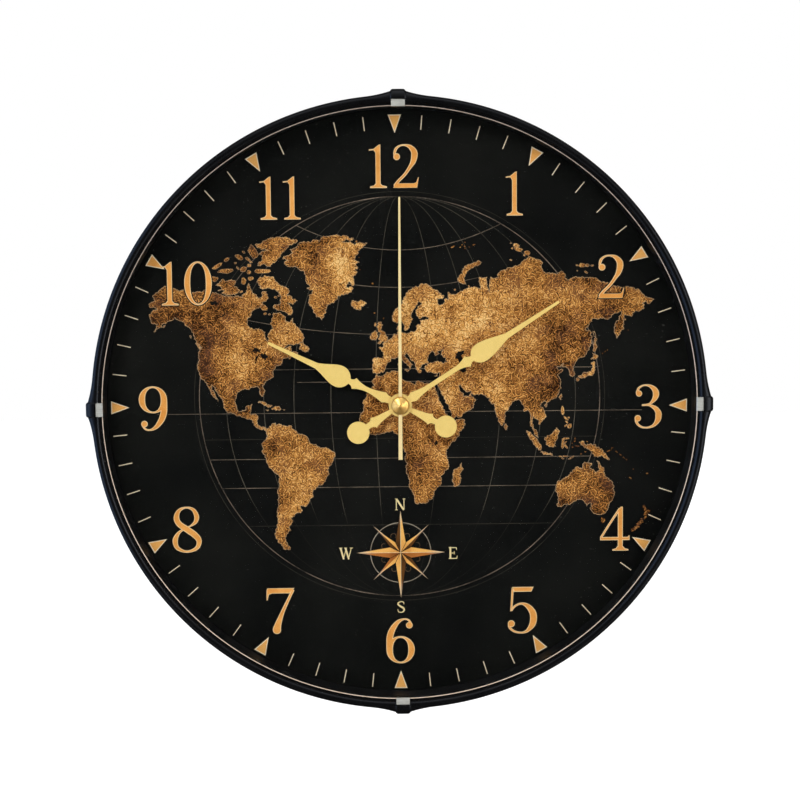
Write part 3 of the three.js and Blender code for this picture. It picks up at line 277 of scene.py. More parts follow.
def noise(tree, scale, detail, vector, rough=0.5):
    inputs = {"Scale": scale, "Detail": detail, "Roughness": rough, "Vector": vector}
    return add(tree, "ShaderNodeTexNoise", inputs).outputs[0]


def on_piece(tree):
    return add(tree, "ShaderNodeTexCoord").outputs["Object"]


def along_axis(tree, axis):
    """How far along X, Y or Z the place on the piece lies, in metres."""
    return add(tree, "ShaderNodeSeparateXYZ", {0: on_piece(tree)}).outputs[axis]


def place_group(tree, which, **values):
    inputs = {key.replace("_", " "): value for key, value in values.items()}
    return add(tree, "ShaderNodeGroup", inputs, node_tree=which)


# %% Cloudy colour
cloud, given, made = group(
    "cloudy_colour",
    [("Deep", "Color", (0, 0, 0, 1)), ("Pale", "Color", (1, 1, 1, 1)), ("Scale", "Float", 60.0),
     ("Speck Scale", "Float", 900.0), ("Speck Share", "Float", 0.3)],
    [("Color", "Color")])
spot = on_piece(cloud)
broad = span(cloud, noise(cloud, given.outputs["Scale"], 4.0, spot), 0.3, 0.7)
speck = span(cloud, noise(cloud, given.outputs["Speck Scale"], 2.0, spot), 0.35, 0.75)
weighed = product(cloud, speck, given.outputs["Speck Share"])
rest = maths(cloud, "SUBTRACT", 1.0, given.outputs["Speck Share"])
share = maths(cloud, "ADD", product(cloud, broad, rest), weighed, clamp=True)
feed(blend(cloud, share, given.outputs["Deep"], given.outputs["Pale"]), made, "Color")


# %% Fine grain
def partway(tree, share, low, high):
    """A value that runs from low to high with the share."""
    return total(tree, low, product(tree, share, maths(tree, "SUBTRACT", high, low)))


grain, given, made = group(
    "fine_grain",
    [("Scale", "Float", 1500.0), ("Smooth", "Float", 0.3), ("Rough", "Float", 0.5)],
    [("Roughness", "Float"), ("Height", "Float")])
spot = on_piece(grain)
pits = noise(grain, given.outputs["Scale"], 3.0, spot)
patch = noise(grain, product(grain, given.outputs["Scale"], 0.04), 3.0, spot)
evened = span(grain, total(grain, product(grain, pits, 0.4), product(grain, patch, 0.6)), 0.3, 0.7)
uneven = partway(grain, evened, given.outputs["Smooth"], given.outputs["Rough"])
feed(uneven, made, "Roughness")
feed(pits, made, "Height")

# %% Drawn lines
drawn, given, made = group(
    "drawn_lines",
    [("Along", "Vector", (1.0, 1.0, 1.0)), ("Smooth", "Float", 0.25), ("Rough", "Float", 0.45)],
    [("Roughness", "Float"), ("Height", "Float"), ("Share", "Float")])
lines = noise(drawn, 1.0, 4.0, vectors(drawn, "MULTIPLY", on_piece(drawn), given.outputs["Along"]), 0.6)
evened = span(drawn, lines, 0.3, 0.7)
uneven = partway(drawn, evened, given.outputs["Smooth"], given.outputs["Rough"])
feed(uneven, made, "Roughness")
feed(lines, made, "Height")
feed(evened, made, "Share")

# %% [markdown]
# The foil of the map is made of short strands. In each cell of a flat Voronoi texture lies one
# strand: the place in the cell is turned by a random angle and bent, and what lies near the
# middle line is strand. Beside it runs a shade, so that the strand seems to stand up. Two
# such layers of unlike scale, a mottle, dark cracks and bright hair lines then move one tone
# up and down, and the tone picks the colour: dark brown, gold, bright gold, pale. A reddish
# patina lies over the darker patches. A picture of foil would be quicker, but it would blur
# when seen close, and each land would show the same marks.

# %% Strand layer
strands, given, made = group(
    "strand_layer", [("Vector", "Vector", (0.0, 0.0, 0.0)), ("Scale", "Float", 600.0)],
    [("Light", "Float"), ("Shade", "Float")])
spot, scale = given.outputs["Vector"], given.outputs["Scale"]
cells = add(strands, "ShaderNodeTexVoronoi", {"Vector": spot, "Scale": scale}, voronoi_dimensions="2D")
away = vectors(strands, "SUBTRACT", spot, cells.outputs["Position"])
away = add(strands, "ShaderNodeVectorMath", {0: away, "Scale": scale}, operation="SCALE").outputs[0]
chance = add(strands, "ShaderNodeSeparateColor", {0: cells.outputs["Color"]})
angle = product(strands, chance.outputs[0], math.tau)
turned = add(strands, "ShaderNodeVectorRotate", {"Vector": away, "Angle": angle}, rotation_type="Z_AXIS")
place = add(strands, "ShaderNodeSeparateXYZ", {0: turned.outputs[0]})
sag = product(strands, maths(strands, "SUBTRACT", chance.outputs[1], 0.5), 2.2)
sag = product(strands, sag, product(strands, place.outputs["X"], place.outputs["X"]))
across = maths(strands, "SUBTRACT", place.outputs["Y"], sag)
ends = span(strands, maths(strands, "ABSOLUTE", place.outputs["X"]), 0.4, 0.62, 1.0, 0.0)
for label, shift, low, high in (("Light", 0.0, 0.05, 0.14), ("Shade", 0.2, 0.04, 0.2)):
    off = maths(strands, "ABSOLUTE", maths(strands, "ADD", across, shift))
    feed(product(strands, span(strands, off, low, high, 1.0, 0.0), ends), made, label)

# %% Crackled foil
foil, given, made = group(
    "crackled_foil",
    [("Dark", "Color", srgb(40, 20, 7)), ("Gold", "Color", srgb(156, 99, 45)),
     ("Bright", "Color", srgb(228, 164, 86)), ("Pale", "Color", srgb(250, 212, 146)),
     ("Patina", "Color", srgb(112, 72, 54)), ("Glow", "Float", 0.0)],
    [("Color", "Color"), ("Roughness", "Float"), ("Height", "Float")])
spot = on_piece(foil)
drift = add(foil, "ShaderNodeTexNoise", {"Vector": spot, "Scale": 240.0, "Detail": 1.0}).outputs["Color"]
bent = vectors(foil, "MULTIPLY_ADD", drift, (0.004, 0.004, 0.004), spot)
flat = add(foil, "ShaderNodeSeparateXYZ", {0: spot})
flat = add(foil, "ShaderNodeCombineXYZ", {0: flat.outputs["X"], 1: flat.outputs["Z"]}).outputs[0]
wide = span(foil, noise(foil, 70.0, 3.0, spot), 0.33, 0.67, -0.26, 0.26)
middling = span(foil, noise(foil, 170.0, 2.0, bent), 0.35, 0.65, -0.1, 0.1)
small = span(foil, noise(foil, 380.0, 3.0, bent, 0.6), 0.3, 0.7, -0.2, 0.2)
ground = total(foil, wide, middling, small, given.outputs["Glow"], 0.43)
long_ones = place_group(foil, strands, Vector=flat, Scale=520.0)
short_ones = place_group(foil, strands, Vector=flat, Scale=760.0)
dimmed = product(foil, short_ones.outputs["Light"], 0.8)
light = maths(foil, "MAXIMUM", long_ones.outputs["Light"], dimmed)
light = product(foil, light, span(foil, ground, 0.4, 0.75, 0.54, 0.4))
shade = maths(foil, "MAXIMUM", long_ones.outputs["Shade"], short_ones.outputs["Shade"])
cells = add(foil, "ShaderNodeTexVoronoi", {"Vector": bent, "Scale": 420.0}, feature="DISTANCE_TO_EDGE")
cracks = span(foil, cells.outputs["Distance"], 0.0, 0.07, 1.0, 0.0)
cells = add(foil, "ShaderNodeTexVoronoi", {"Vector": bent, "Scale": 640.0}, feature="DISTANCE_TO_EDGE")
hair = span(foil, cells.outputs["Distance"], 0.0, 0.05, 0.34, 0.0)
hair = product(foil, hair, span(foil, noise(foil, 130.0, 2.0, spot), 0.48, 0.6))
relief = total(foil, maths(foil, "SUBTRACT", light, product(foil, shade, 0.28)), hair)
gaps = product(foil, cracks, span(foil, ground, 0.3, 0.75, 0.16, 0.66))
tone = maths(foil, "SUBTRACT", total(foil, ground, relief), gaps)
body = blend(foil, span(foil, tone, 0.0, 0.45), given.outputs["Dark"], given.outputs["Gold"])
body = blend(foil, span(foil, tone, 0.45, 0.85), body, given.outputs["Bright"])
body = blend(foil, span(foil, tone, 0.85, 1.2), body, given.outputs["Pale"])
aged = span(foil, noise(foil, 95.0, 3.0, bent), 0.48, 0.66)
aged = product(foil, aged, span(foil, tone, 0.3, 0.8, 0.4, 0.1))
body = blend(foil, aged, body, given.outputs["Patina"])
feed(body, made, "Color")
feed(span(foil, tone, 0, 1, 0.65, 0.45), made, "Roughness")
feed(tone, made, "Height")
print("groups", [g.name for g in bpy.data.node_groups])


# %% [markdown]
# A finish is one Principled shader in its own material. The groups feed its colour,
# roughness and bump; a value that is the same all over is set on the shader itself.

# %% Finish maker
def bump(tree, shader, height, strength, distance):
    node = add(tree, "ShaderNodeBump", {"Strength": strength, "Distance": distance, "Height": height})
    feed(node.outputs["Normal"], shader, "Normal")


def grained(tree, shader, scale, smooth, rough, height=0.0, depth=0.00005):
    """Fine grain in the roughness, and as a bump too where it has a height."""
    fine = place_group(tree, grain, Scale=scale, Smooth=smooth, Rough=rough)
    feed(fine.outputs["Roughness"], shader, "Roughness")
    if height:
        bump(tree, shader, fine.outputs["Height"], height, depth)


def blank(name, metal=0.0, specular=0.5, coat=0.0, coat_rough=0.05):
    material = bpy.data.materials.new(name)
    material.use_nodes = True
    shader = material.node_tree.nodes["Principled BSDF"]
    shader.inputs["Metallic"].default_value = metal
    shader.inputs["Specular IOR Level"].default_value = specular
    shader.inputs["Coat Weight"].default_value = coat
    shader.inputs["Coat Roughness"].default_value = coat_rough
    return material, material.node_tree, shader


def moulded(name, deep, pale, smooth, rough, scale, grain_scale, height, metal=0.0, specular=0.5, speck=0.3):
    """Plastic, rubber, ink or cast metal: cloudy colour with fine grain."""
    material, tree, shader = blank(name, metal, specular)
    colour = place_group(tree, cloud, Deep=deep, Pale=pale, Scale=scale, Speck_Share=speck)
    feed(colour.outputs["Color"], shader, "Base Color")
    grained(tree, shader, grain_scale, smooth, rough, height)
    return material


def printed(name, deep, pale, scale, speck=0.3):
    """Printing ink on card: cloudy colour, nearly without shine."""
    return moulded(name, deep, pale, 0.5, 0.65, scale, 1600.0, 0.1, specular=0.08, speck=speck)


def sheet_metal(name, deep, pale, along, smooth, rough, metal=1.0, height=0.1):
    """Rolled, drawn or brushed metal: fine lines one way."""
    material, tree, shader = blank(name, metal)
    fine = place_group(tree, drawn, Along=along, Smooth=smooth, Rough=rough)
    feed(blend(tree, fine.outputs["Share"], deep, pale), shader, "Base Color")
    feed(fine.outputs["Roughness"], shader, "Roughness")
    bump(tree, shader, fine.outputs["Height"], height, 0.00003)
    return material


# %% Plastics, inks and metals
bezel_black = moulded("bezel_black", srgb(8, 8, 9), srgb(14, 14, 15), 0.24, 0.32, 90, 2400, 0.06,
                      specular=0.26)
# The case is one black moulding in two tones: where its inner wall shows beside the dial, in the recess, it
# is painted darker as painted shade; behind, it is a plainer, greyer black.
case_black, tree, shader = blank("case_black", specular=0.22)
painted_shade_front = place_group(tree, cloud, Deep=srgb(13, 13, 14), Pale=srgb(20, 20, 21), Scale=40.0)
rear_black = place_group(tree, cloud, Deep=srgb(27, 27, 28), Pale=srgb(40, 40, 42), Scale=40.0)
rearward = span(tree, along_axis(tree, "Y"), -0.002, 0.002)
colour = blend(tree, rearward, painted_shade_front.outputs["Color"], rear_black.outputs["Color"])
feed(colour, shader, "Base Color")
grained(tree, shader, 1100.0, 0.55, 0.7, 0.25)
movement_black = moulded("movement_black", srgb(27, 27, 28), srgb(36, 36, 37), 0.42, 0.55, 80, 1700, 0.2)
gasket_rubber = moulded("gasket_rubber", srgb(22, 22, 22), srgb(34, 33, 32), 0.75, 0.9, 120, 2500, 0.3)
plate_ivory = moulded("plate_ivory", srgb(214, 206, 184), srgb(228, 221, 203), 0.4, 0.5, 70, 1500, 0.12)
gear_white = moulded("gear_white", srgb(224, 222, 214), srgb(238, 236, 230), 0.32, 0.45, 120, 1800, 0.1)
magnet_grey = moulded("magnet_grey", srgb(66, 66, 68), srgb(92, 92, 94), 0.5, 0.7, 260, 2600, 0.3, 0.4)
chip_black = moulded("chip_black", srgb(15, 15, 16), srgb(26, 26, 27), 0.35, 0.6, 300, 3000, 0.3)
board_green = moulded("board_green", srgb(24, 74, 44), srgb(38, 98, 58), 0.3, 0.45, 160, 2000, 0.15)
cap_brass = moulded("cap_brass", srgb(240, 184, 94), srgb(250, 202, 118), 0.27, 0.33, 220, 2600, 0.04, 0.9)
fixing_brass = sheet_metal(
    "fixing_brass", srgb(186, 146, 74), srgb(222, 184, 108), (900, 90, 900), 0.25, 0.42)
motor_steel = sheet_metal(
    "motor_steel", srgb(142, 142, 140), srgb(176, 176, 172), (90, 900, 900), 0.3, 0.5)
contact_nickel = sheet_metal(
    "contact_nickel", srgb(178, 176, 168), srgb(212, 210, 202), (120, 1200, 900), 0.2, 0.4)
copper_wire = sheet_metal(
    "copper_wire", srgb(150, 74, 36), srgb(208, 120, 66), (5200, 60, 60), 0.25, 0.4)
clip_silver = sheet_metal(
    "clip_silver", srgb(180, 180, 172), srgb(212, 212, 204), (160, 160, 1500), 0.3, 0.48, 0.35, 0.12)
print("finishes", len(bpy.data.materials))


# %% [markdown]
# The solids that stay as they are get a finish and a narrow bevel. On a real moulding
# or stamping no edge is a knife edge, and the bevel catches a thin line of light there.

# %% Dress the solids that stay
STAYING = (  # finish, width of the bevel, nodes
    (gasket_rubber, 0.15, "rubber_gasket"), (fixing_brass, 0.06, "dial_washer"),
    (fixing_brass, 0.2, "hex_nut"), (fixing_brass, 0.1, "centre_bush"),
    (movement_black, 0.25, "movement_housing"), (movement_black, 0.3, "movement_cover"),
    (plate_ivory, 0.08, "middle_plate"), (plate_ivory, 0.1, "coil_bobbin"),
    (gear_white, 0, "hour_wheel minute_arbor centre_wheel third_wheel second_wheel fifth_wheel"),
    (gear_white, 0, "rotor_pinion motion_wheel setting_arbor"), (magnet_grey, 0.1, "rotor_magnet"),
    (motor_steel, 0.06, "stator coil_core"), (copper_wire, 0.1, "coil_winding"),
    (board_green, 0.05, "circuit_board"), (chip_black, 0.1, "chip"), (contact_nickel, 0.1, "crystal"),
    (contact_nickel, 0.05, "positive_contact negative_contact"),
    (clip_silver, 0.14, "clip_3 clip_12 clip_9 clip_6"))


def soften(piece, width):
    """A narrow bevel of two steps on every edge sharper than forty degrees."""
    rim = piece.modifiers.new("edge", "BEVEL")
    rim.width, rim.segments = width * MM, 2
    rim.limit_method, rim.angle_limit = "ANGLE", math.radians(40)
    rim.use_clamp_overlap = True


def dress(piece, finish):
    piece.data.materials.clear()
    piece.data.materials.append(finish)


for finish, edge, names in STAYING:
    for name in names.split():
        dress(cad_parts[name], finish)
        if edge:
            soften(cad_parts[name], edge)
print("solids dressed", sum(len(names.split()) for finish, edge, names in STAYING))


# %% [markdown]
# Three ways of making a mesh cover nearly all pieces: turning a profile about the
# hands' axis, cutting a plate from flat outlines, and laying a thin ribbon along a path.
# Overlapping outlines are merged by a constrained triangulation, so each plate is one
# closed body with clean walls. A ragged outline may cross itself; the triangulation can then
# take the outside for the inside, so its area is checked, and another first point is tried.
# Curves with a bevel would be shorter to write, but they leave open or overlapping faces.

# %% Turn a profile
def turn(profile, segments):
    """A ring from a closed profile of (radius, depth), or a disc where it starts and ends on the axis."""
    verts, faces, rows = [], [], []
    for radius, depth in profile:
        if radius < 1e-6:
            rows.append([len(verts)] * segments)
            verts.append((0.0, forward(depth), 0.0))
            continue
        rows.append(list(range(len(verts), len(verts) + segments)))
        for k in range(segments):
            t = math.tau * k / segments
            verts.append((radius * math.cos(t), forward(depth), radius * math.sin(t)))
    open_ends = profile[0][0] < 1e-6 and profile[-1][0] < 1e-6
    pairs = list(zip(rows, rows[1:])) + ([] if open_ends else [(rows[-1], rows[0])])
    for a, b in pairs:
        for k in range(segments):
            n = (k + 1) % segments
            ring = [a[k], a[n], b[n], b[k]]
            ring = [v for i, v in enumerate(ring) if v != ring[i - 1]]
            if len(ring) > 2:
                faces.append(ring)
    return verts, faces


# %% Cut a plate
TRIES, SHIFT, SET_BACK = 12, 7, 0.05


def area_of(loop):
    """The area inside a flat outline, below zero where it runs clockwise."""
    return sum(a[0] * b[1] - b[0] * a[1] for a, b in zip(loop, loop[1:] + loop[:1])) / 2


def unpinched(flat, triangles):
    """Where an outline touches itself in a point, each further fan of triangles gets a point of its own,
    set back a little, so that no edge of the plate has four faces."""
    flat, triangles, around = list(flat), [list(t) for t in triangles], {}
    for t, corners in enumerate(triangles):
        for v in corners:
            around.setdefault(v, []).append(t)
    for v, members in around.items():
        left, fans = list(members), []
        while left:
            fan = [left.pop(0)]
            for t in fan:
                joined = [o for o in left if len(set(triangles[t]) & set(triangles[o])) > 1]
                left = [o for o in left if o not in joined]
                fan += joined
            fans.append(fan)
        for fan in fans[1:]:
            corners = [flat[w] for t in fan for w in triangles[t]]
            back = sum(corners, Vector((0, 0))) / len(corners) - flat[v]
            flat.append(flat[v] + back * SET_BACK)
            for t in fan:
                triangles[t] = [len(flat) - 1 if w == v else w for w in triangles[t]]
    return flat, triangles


def plate(outlines, rear, front, holes=()):
    """One closed body from flat outlines of (x, z), merged, less the holes, between two depths."""
    points, rings = [], []
    for loop in list(outlines) + list(holes):
        loop = list(loop) if area_of(loop) > 0 else list(reversed(loop))
        rings.append(list(range(len(points), len(points) + len(loop))))
        points.extend(Vector(p) for p in loop)
    cut = set(range(len(outlines), len(rings)))
    for _ in range(TRIES):
        flat, _, triangles, _, _, origin = delaunay_2d_cdt(points, [], rings, 1, 1e-5, True)
        kept = [t for t, ids in zip(triangles, origin) if ids and not cut & set(ids)]
        inside = sum(area_of([flat[v] for v in tri]) for tri in kept)
        if len(rings) > 1 or abs(inside / area_of(points) - 1) < 0.1:
            break
        points = points[SHIFT:] + points[:SHIFT]
    flat, kept = unpinched(flat, kept)
    edges = dict.fromkeys((tri[i - 1], tri[i]) for tri in kept for i in range(len(tri)))
    used = sorted({v for tri in kept for v in tri})
    new = {v: i for i, v in enumerate(used)}
    count = len(used)
    verts = [(flat[v][0], forward(front), flat[v][1]) for v in used]
    verts += [(flat[v][0], forward(rear), flat[v][1]) for v in used]
    faces = [[new[v] for v in tri] for tri in kept]
    faces += [[new[v] + count for v in reversed(tri)] for tri in kept]
    for a, b in edges:
        if (b, a) not in edges:
            faces.append([new[b], new[a], new[a] + count, new[b] + count])
    return verts, faces


# %% Lay a ribbon
def ribbon(path, half, rear, front, closed):
    """A thin band of that half width along a flat path of (x, z)."""
    verts, faces, count = [], [], len(path)
    for i, (x, z) in enumerate(path):
        before = path[i - 1] if closed or i else path[i]
        after = path[(i + 1) % count] if closed or i < count - 1 else path[i]
        along = Vector((after[0] - before[0], after[1] - before[1]))
        along = along.normalized() if along.length > 1e-9 else Vector((1, 0))
        sx, sz = -along.y * half, along.x * half
        verts += [(x + sx, forward(front), z + sz), (x - sx, forward(front), z - sz),
                  (x - sx, forward(rear), z - sz), (x + sx, forward(rear), z + sz)]
    for i in range(count if closed else count - 1):
        a, b = 4 * i, 4 * ((i + 1) % count)
        faces += [[a + j, a + (j + 1) % 4, b + (j + 1) % 4, b + j] for j in range(4)]
    if not closed:
        faces += [[3, 2, 1, 0], [4 * count - 4, 4 * count - 3, 4 * count - 2, 4 * count - 1]]
    return verts, faces


# %% Make a piece
def closed_mesh(name, verts, faces):
    """A mesh in metres whose faces look outwards, and the number of its open edges."""
    mesh = bpy.data.meshes.new(name)
    mesh.from_pydata(verts, [], faces)
    shape = bmesh.new()
    shape.from_mesh(mesh)
    bmesh.ops.recalc_face_normals(shape, faces=shape.faces)
    loose = sum(1 for e in shape.edges if len(e.link_faces) != 2)
    shape.to_mesh(mesh)
    shape.free()
    return mesh, loose


def piece(name, parts, finish, slot, body="clock_body", stands_for=(), sharp=35, edge=0.0):
    """One named object from several closed parts, riding on a body of the clock."""
    verts, faces = [], []
    for part_verts, part_faces in parts:
        start = len(verts)
        verts += [(x * MM, y * MM, z * MM) for x, y, z in part_verts]
        faces += [[v + start for v in face] for face in part_faces]
    mesh, loose = closed_mesh(name, verts, faces)
    mesh.shade_smooth()
    mesh.set_sharp_from_angle(angle=math.radians(sharp))
    mesh.materials.append(finish)
    made = bpy.data.objects.new(name, mesh)
    bpy.context.scene.collection.objects.link(made)
    if edge:
        soften(made, edge)
    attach(made, body)
    if stands_for:
        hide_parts(*stands_for)
    print(name, len(faces), "faces", loose, "open edges")
    return made


def circle(radius, segments, centre=(0.0, 0.0)):
    return [(centre[0] + radius * math.cos(math.tau * k / segments),
             centre[1] + radius * math.sin(math.tau * k / segments)) for k in range(segments)]


# %% [markdown]
# The bezel is one moulded ring: a lip over the glass, a rounded bead and a skirt. At each
# clip it swells into a strap with a hollow flare on both sides. One cross-section carried
# round the ring gives all of this, with stations close together near the straps; a plain
# turned ring could not swell. The four slots for the clips are cut afterwards with a
# Boolean, then the cutter is thrown away.

# %% Bezel section
RING, LIP_INNER, BEAD_INNER, SKIRT_INNER = 147.3, 142.0, 143.3, 144.3
LIP_REAR, LIP_FRONT, SKIRT_REAR = 35.8, 36.4, 9.0
BEAD_HALF, BEAD_HEIGHT = 2.0, 1.6
STRAP_HALF, STRAP_RISE, FLARE_RISE, FLARE_LENGTH = 3.55, 2.66, 1.75, 12.7


def ease(value, low, high):
    t = min(max((value - low) / (high - low), 0.0), 1.0)
    return t * t * (3 - 2 * t)


def swell(arc):
    """How far the rim stands out, and how much the bead rises, so far from a clip's middle line."""
    arc = abs(arc)
    share = min(max((arc - STRAP_HALF) / FLARE_LENGTH, 0.0), 1.0)
    on_strap = 1 - ease(arc, STRAP_HALF - 0.35, STRAP_HALF + 0.1)
    rounding = 0.35 * ease(arc, 2.4, STRAP_HALF)
    flare = FLARE_RISE * (1 - share) ** 2.2
    return on_strap * (STRAP_RISE - rounding) + (1 - on_strap) * flare, 0.27 * on_strap


def bezel_section(arc):
    rise, crown = swell(arc)
    points = [(LIP_INNER + 0.1, LIP_REAR), (LIP_INNER, LIP_REAR + 0.1), (LIP_INNER, LIP_FRONT - 0.1),
              (LIP_INNER + 0.1, LIP_FRONT)]
    for i in range(29):
        t = math.pi * i / 28
        radius = BEAD_INNER + BEAD_HALF * (1 - math.cos(t)) + rise * max(0.0, -math.cos(t))
        points.append((radius, LIP_FRONT + (BEAD_HEIGHT + crown) * math.sin(t)))
    foot = RING + 0.4 * rise
    points += [(foot + 0.3 * (RING + rise - foot), 24.0), (foot, SKIRT_REAR + 0.8)]
    points += [(foot - 0.25, SKIRT_REAR + 0.25), (RING - 0.8, SKIRT_REAR), (SKIRT_INNER + 0.2, SKIRT_REAR),
               (SKIRT_INNER, SKIRT_REAR + 0.2), (SKIRT_INNER, LIP_REAR - 0.3), (SKIRT_INNER - 0.3, LIP_REAR)]
    return points


# %% Bezel ring
CLOSE_STEP, CLOSE_REACH, PLAIN_STEPS = 0.3, 17, 80
quarter = RING * math.pi / 2
near = [i * CLOSE_STEP for i in range(int(CLOSE_REACH / CLOSE_STEP))]
plain = [CLOSE_REACH + (quarter - 2 * CLOSE_REACH) * i / PLAIN_STEPS for i in range(PLAIN_STEPS)]
arcs = near + plain + [quarter - a for a in reversed(near[1:])]
stations = [((clip * quarter + a) / RING, bezel_section(min(a, quarter - a)))
            for clip in range(4) for a in arcs]
ring_verts, ring_faces, size = [], [], len(stations[0][1])
for i, (angle, section) in enumerate(stations):
    ahead = (i + 1) % len(stations)
    for j, (radius, depth) in enumerate(section):
        ring_verts.append((radius * math.cos(angle), forward(depth), radius * math.sin(angle)))
        k = (j + 1) % size
        ring_faces.append([i * size + j, i * size + k, ahead * size + k, ahead * size + j])
bezel = piece("bezel_ring", [(ring_verts, ring_faces)], bezel_black, slot="bezel_black",
              stands_for=("front_bezel",), sharp=50)


# %% Clip slots
def cuboid(low, high, bearing):
    """A block of (radius, across, depth) limits, turned to a bearing from 3 o'clock."""
    c, s = math.cos(math.radians(bearing)), math.sin(math.radians(bearing))
    verts = []
    for depth in (low[2], high[2]):
        for r, a in ((low[0], low[1]), (high[0], low[1]), (high[0], high[1]), (low[0], high[1])):
            verts.append(((r * c - a * s) * MM, forward(depth) * MM, (r * s + a * c) * MM))
    return verts, [[0, 1, 2, 3], [7, 6, 5, 4], [0, 4, 5, 1], [1, 5, 6, 2], [2, 6, 7, 3], [3, 7, 4, 0]]


def carve(target, blocks):
    for verts, faces in blocks:
        tool = bpy.data.objects.new("cutter", closed_mesh("cutter", verts, faces)[0])
        bpy.context.scene.collection.objects.link(tool)
        slot = target.modifiers.new("slot", "BOOLEAN")
        slot.object, slot.operation, slot.solver = tool, "DIFFERENCE", "EXACT"
        ready = target.evaluated_get(bpy.context.evaluated_depsgraph_get())
        result = bpy.data.meshes.new_from_object(ready)
        target.modifiers.remove(slot)
        target.data = result
        bpy.data.objects.remove(tool)


SLOT_HALF, SLOT_OUTER, CLEAR = 3.45, 145.6, 40
blocks = []
for bearing in (0, 90, 180, 270):
    far_corner = (SLOT_OUTER, SLOT_HALF, CLEAR)
    blocks.append(cuboid((LIP_INNER - 1, -SLOT_HALF, LIP_FRONT), far_corner, bearing))
    blocks.append(cuboid((BEAD_INNER, -SLOT_HALF, SKIRT_REAR - 1), far_corner, bearing))
carve(bezel, blocks)
bezel.data.set_sharp_from_angle(angle=math.radians(40))
print("bezel after the slots", len(bezel.data.polygons), "faces")

# %% [markdown]
# A thin gilt line is sprayed round the inner edge of the lip. It could be a mask in the
# bezel's own finish, but a narrow turned ring keeps it sharp. The ring leans inwards, so
# that below it looks up to the light; above, it is painted darker, as painted shade.

# %% Gilt line on the lip
gilt_line, tree, shader = blank("gilt_line", 0.15)
spray = place_group(tree, drawn, Along=(400, 400, 400), Smooth=0.4, Rough=0.55)
full = blend(tree, spray.outputs["Share"], srgb(206, 182, 156), srgb(240, 220, 200))
# The upper part of the line is painted darker: painted shade, since there the ring faces down, away from the
# light.
painted_shade_gilt = blend(tree, spray.outputs["Share"], srgb(164, 146, 130), srgb(196, 180, 168))
painted_shade_above = span(tree, along_axis(tree, "Z"), -0.06, 0.09, smooth=True)
feed(blend(tree, painted_shade_above, full, painted_shade_gilt), shader, "Base Color")
feed(spray.outputs["Roughness"], shader, "Roughness")
line = [(0.05, -0.02), (0.05, 0.02), (0.1, 0.06), (0.36, 0.22), (0.42, 0.2), (0.45, -0.02)]
line = [(LIP_INNER + out, LIP_FRONT + rise) for out, rise in line]
piece("gilt_line", [turn(line, 360)], gilt_line, slot="hand_gold")

# %% [markdown]
# The glass is a flat disc with a small ground edge. Light from the lamps has to reach
# the dial through it, so the material lets shadow rays pass: a mix by Light Path, which is
# the usual way to keep flat glass clear without caustics.

# %% Lens
lens_glass, tree, shader = blank("lens_glass")
shader.inputs["Transmission Weight"].default_value = 1.0
shader.inputs["IOR"].default_value = 1.46
grained(tree, shader, 700.0, 0.0, 0.018)
tint = place_group(tree, cloud, Deep=(0.97, 0.985, 0.975, 1), Pale=(0.99, 0.995, 0.99, 1), Scale=12.0)
feed(tint.outputs["Color"], shader, "Base Color")
path = add(tree, "ShaderNodeLightPath")
passing = maths(tree, "MAXIMUM", path.outputs["Is Shadow Ray"], path.outputs["Is Diffuse Ray"])
clear = add(tree, "ShaderNodeBsdfTransparent", {"Color": (0.95, 0.96, 0.955, 1)})
mix = add(tree, "ShaderNodeMixShader", {0: passing, 1: shader.outputs[0], 2: clear.outputs[0]})
feed(mix.outputs[0], tree.nodes["Material Output"], "Surface")
GLASS_REAR, GLASS_FRONT, GLASS_R, GROUND = 33.5, 35.5, 144.0, 0.4
edge_cut = [(0, GLASS_REAR), (GLASS_R - GROUND, GLASS_REAR), (GLASS_R, GLASS_REAR + GROUND),
            (GLASS_R, GLASS_FRONT - GROUND), (GLASS_R - GROUND, GLASS_FRONT), (0, GLASS_FRONT)]
piece("lens_disc", [turn(edge_cut, 256)], lens_glass, slot="lens_glass", stands_for=("lens",))

# %% [markdown]
# The dial is a sheet of printed card, almost black, with a faint mottle and pale specks of
# the printing screen. The print on it is built as thin closed plates in steps of a few
# hundredths of a millimetre, so that the inks lie over one another as they do on paper.

# %% Dial sheet
dial_ink, tree, shader = blank("dial_ink", specular=0.04)
mottle = place_group(tree, cloud, Deep=srgb(7, 8, 8), Pale=srgb(25, 25, 23), Scale=20.0,
                     Speck_Scale=1300.0, Speck_Share=0.3)
spot = on_piece(tree)
dash = span(tree, noise(tree, 1.0, 1.0, vectors(tree, "MULTIPLY", spot, (520.0, 520.0, 900.0))), 0.72, 0.79)
few = span(tree, noise(tree, 90.0, 2.0, spot), 0.54, 0.64)
fleck = product(tree, dash, few, 0.25)
feed(blend(tree, fleck, mottle.outputs["Color"], srgb(110, 108, 102)), shader, "Base Color")
grained(tree, shader, 1800.0, 0.55, 0.7, 0.1, 0.00003)
DIAL_REAR, DIAL_FRONT, DIAL_R, DIAL_HOLE, DIAL_EDGE = 21.7, 22.3, 141.9, 4.3, 0.15
sheet = [(DIAL_HOLE, DIAL_REAR), (DIAL_R - DIAL_EDGE, DIAL_REAR), (DIAL_R, DIAL_REAR + DIAL_EDGE),
         (DIAL_R, DIAL_FRONT - DIAL_EDGE), (DIAL_R - DIAL_EDGE, DIAL_FRONT), (DIAL_HOLE, DIAL_FRONT)]
piece("dial_sheet", [turn(sheet, 256)], dial_ink, slot="dial_print", stands_for=("dial",))

# %% Print on the dial
INK_ROOT = DIAL_FRONT - 0.01


def on_dial_face(name, shapes, finish):
    piece(name, shapes, finish, slot="dial_print")


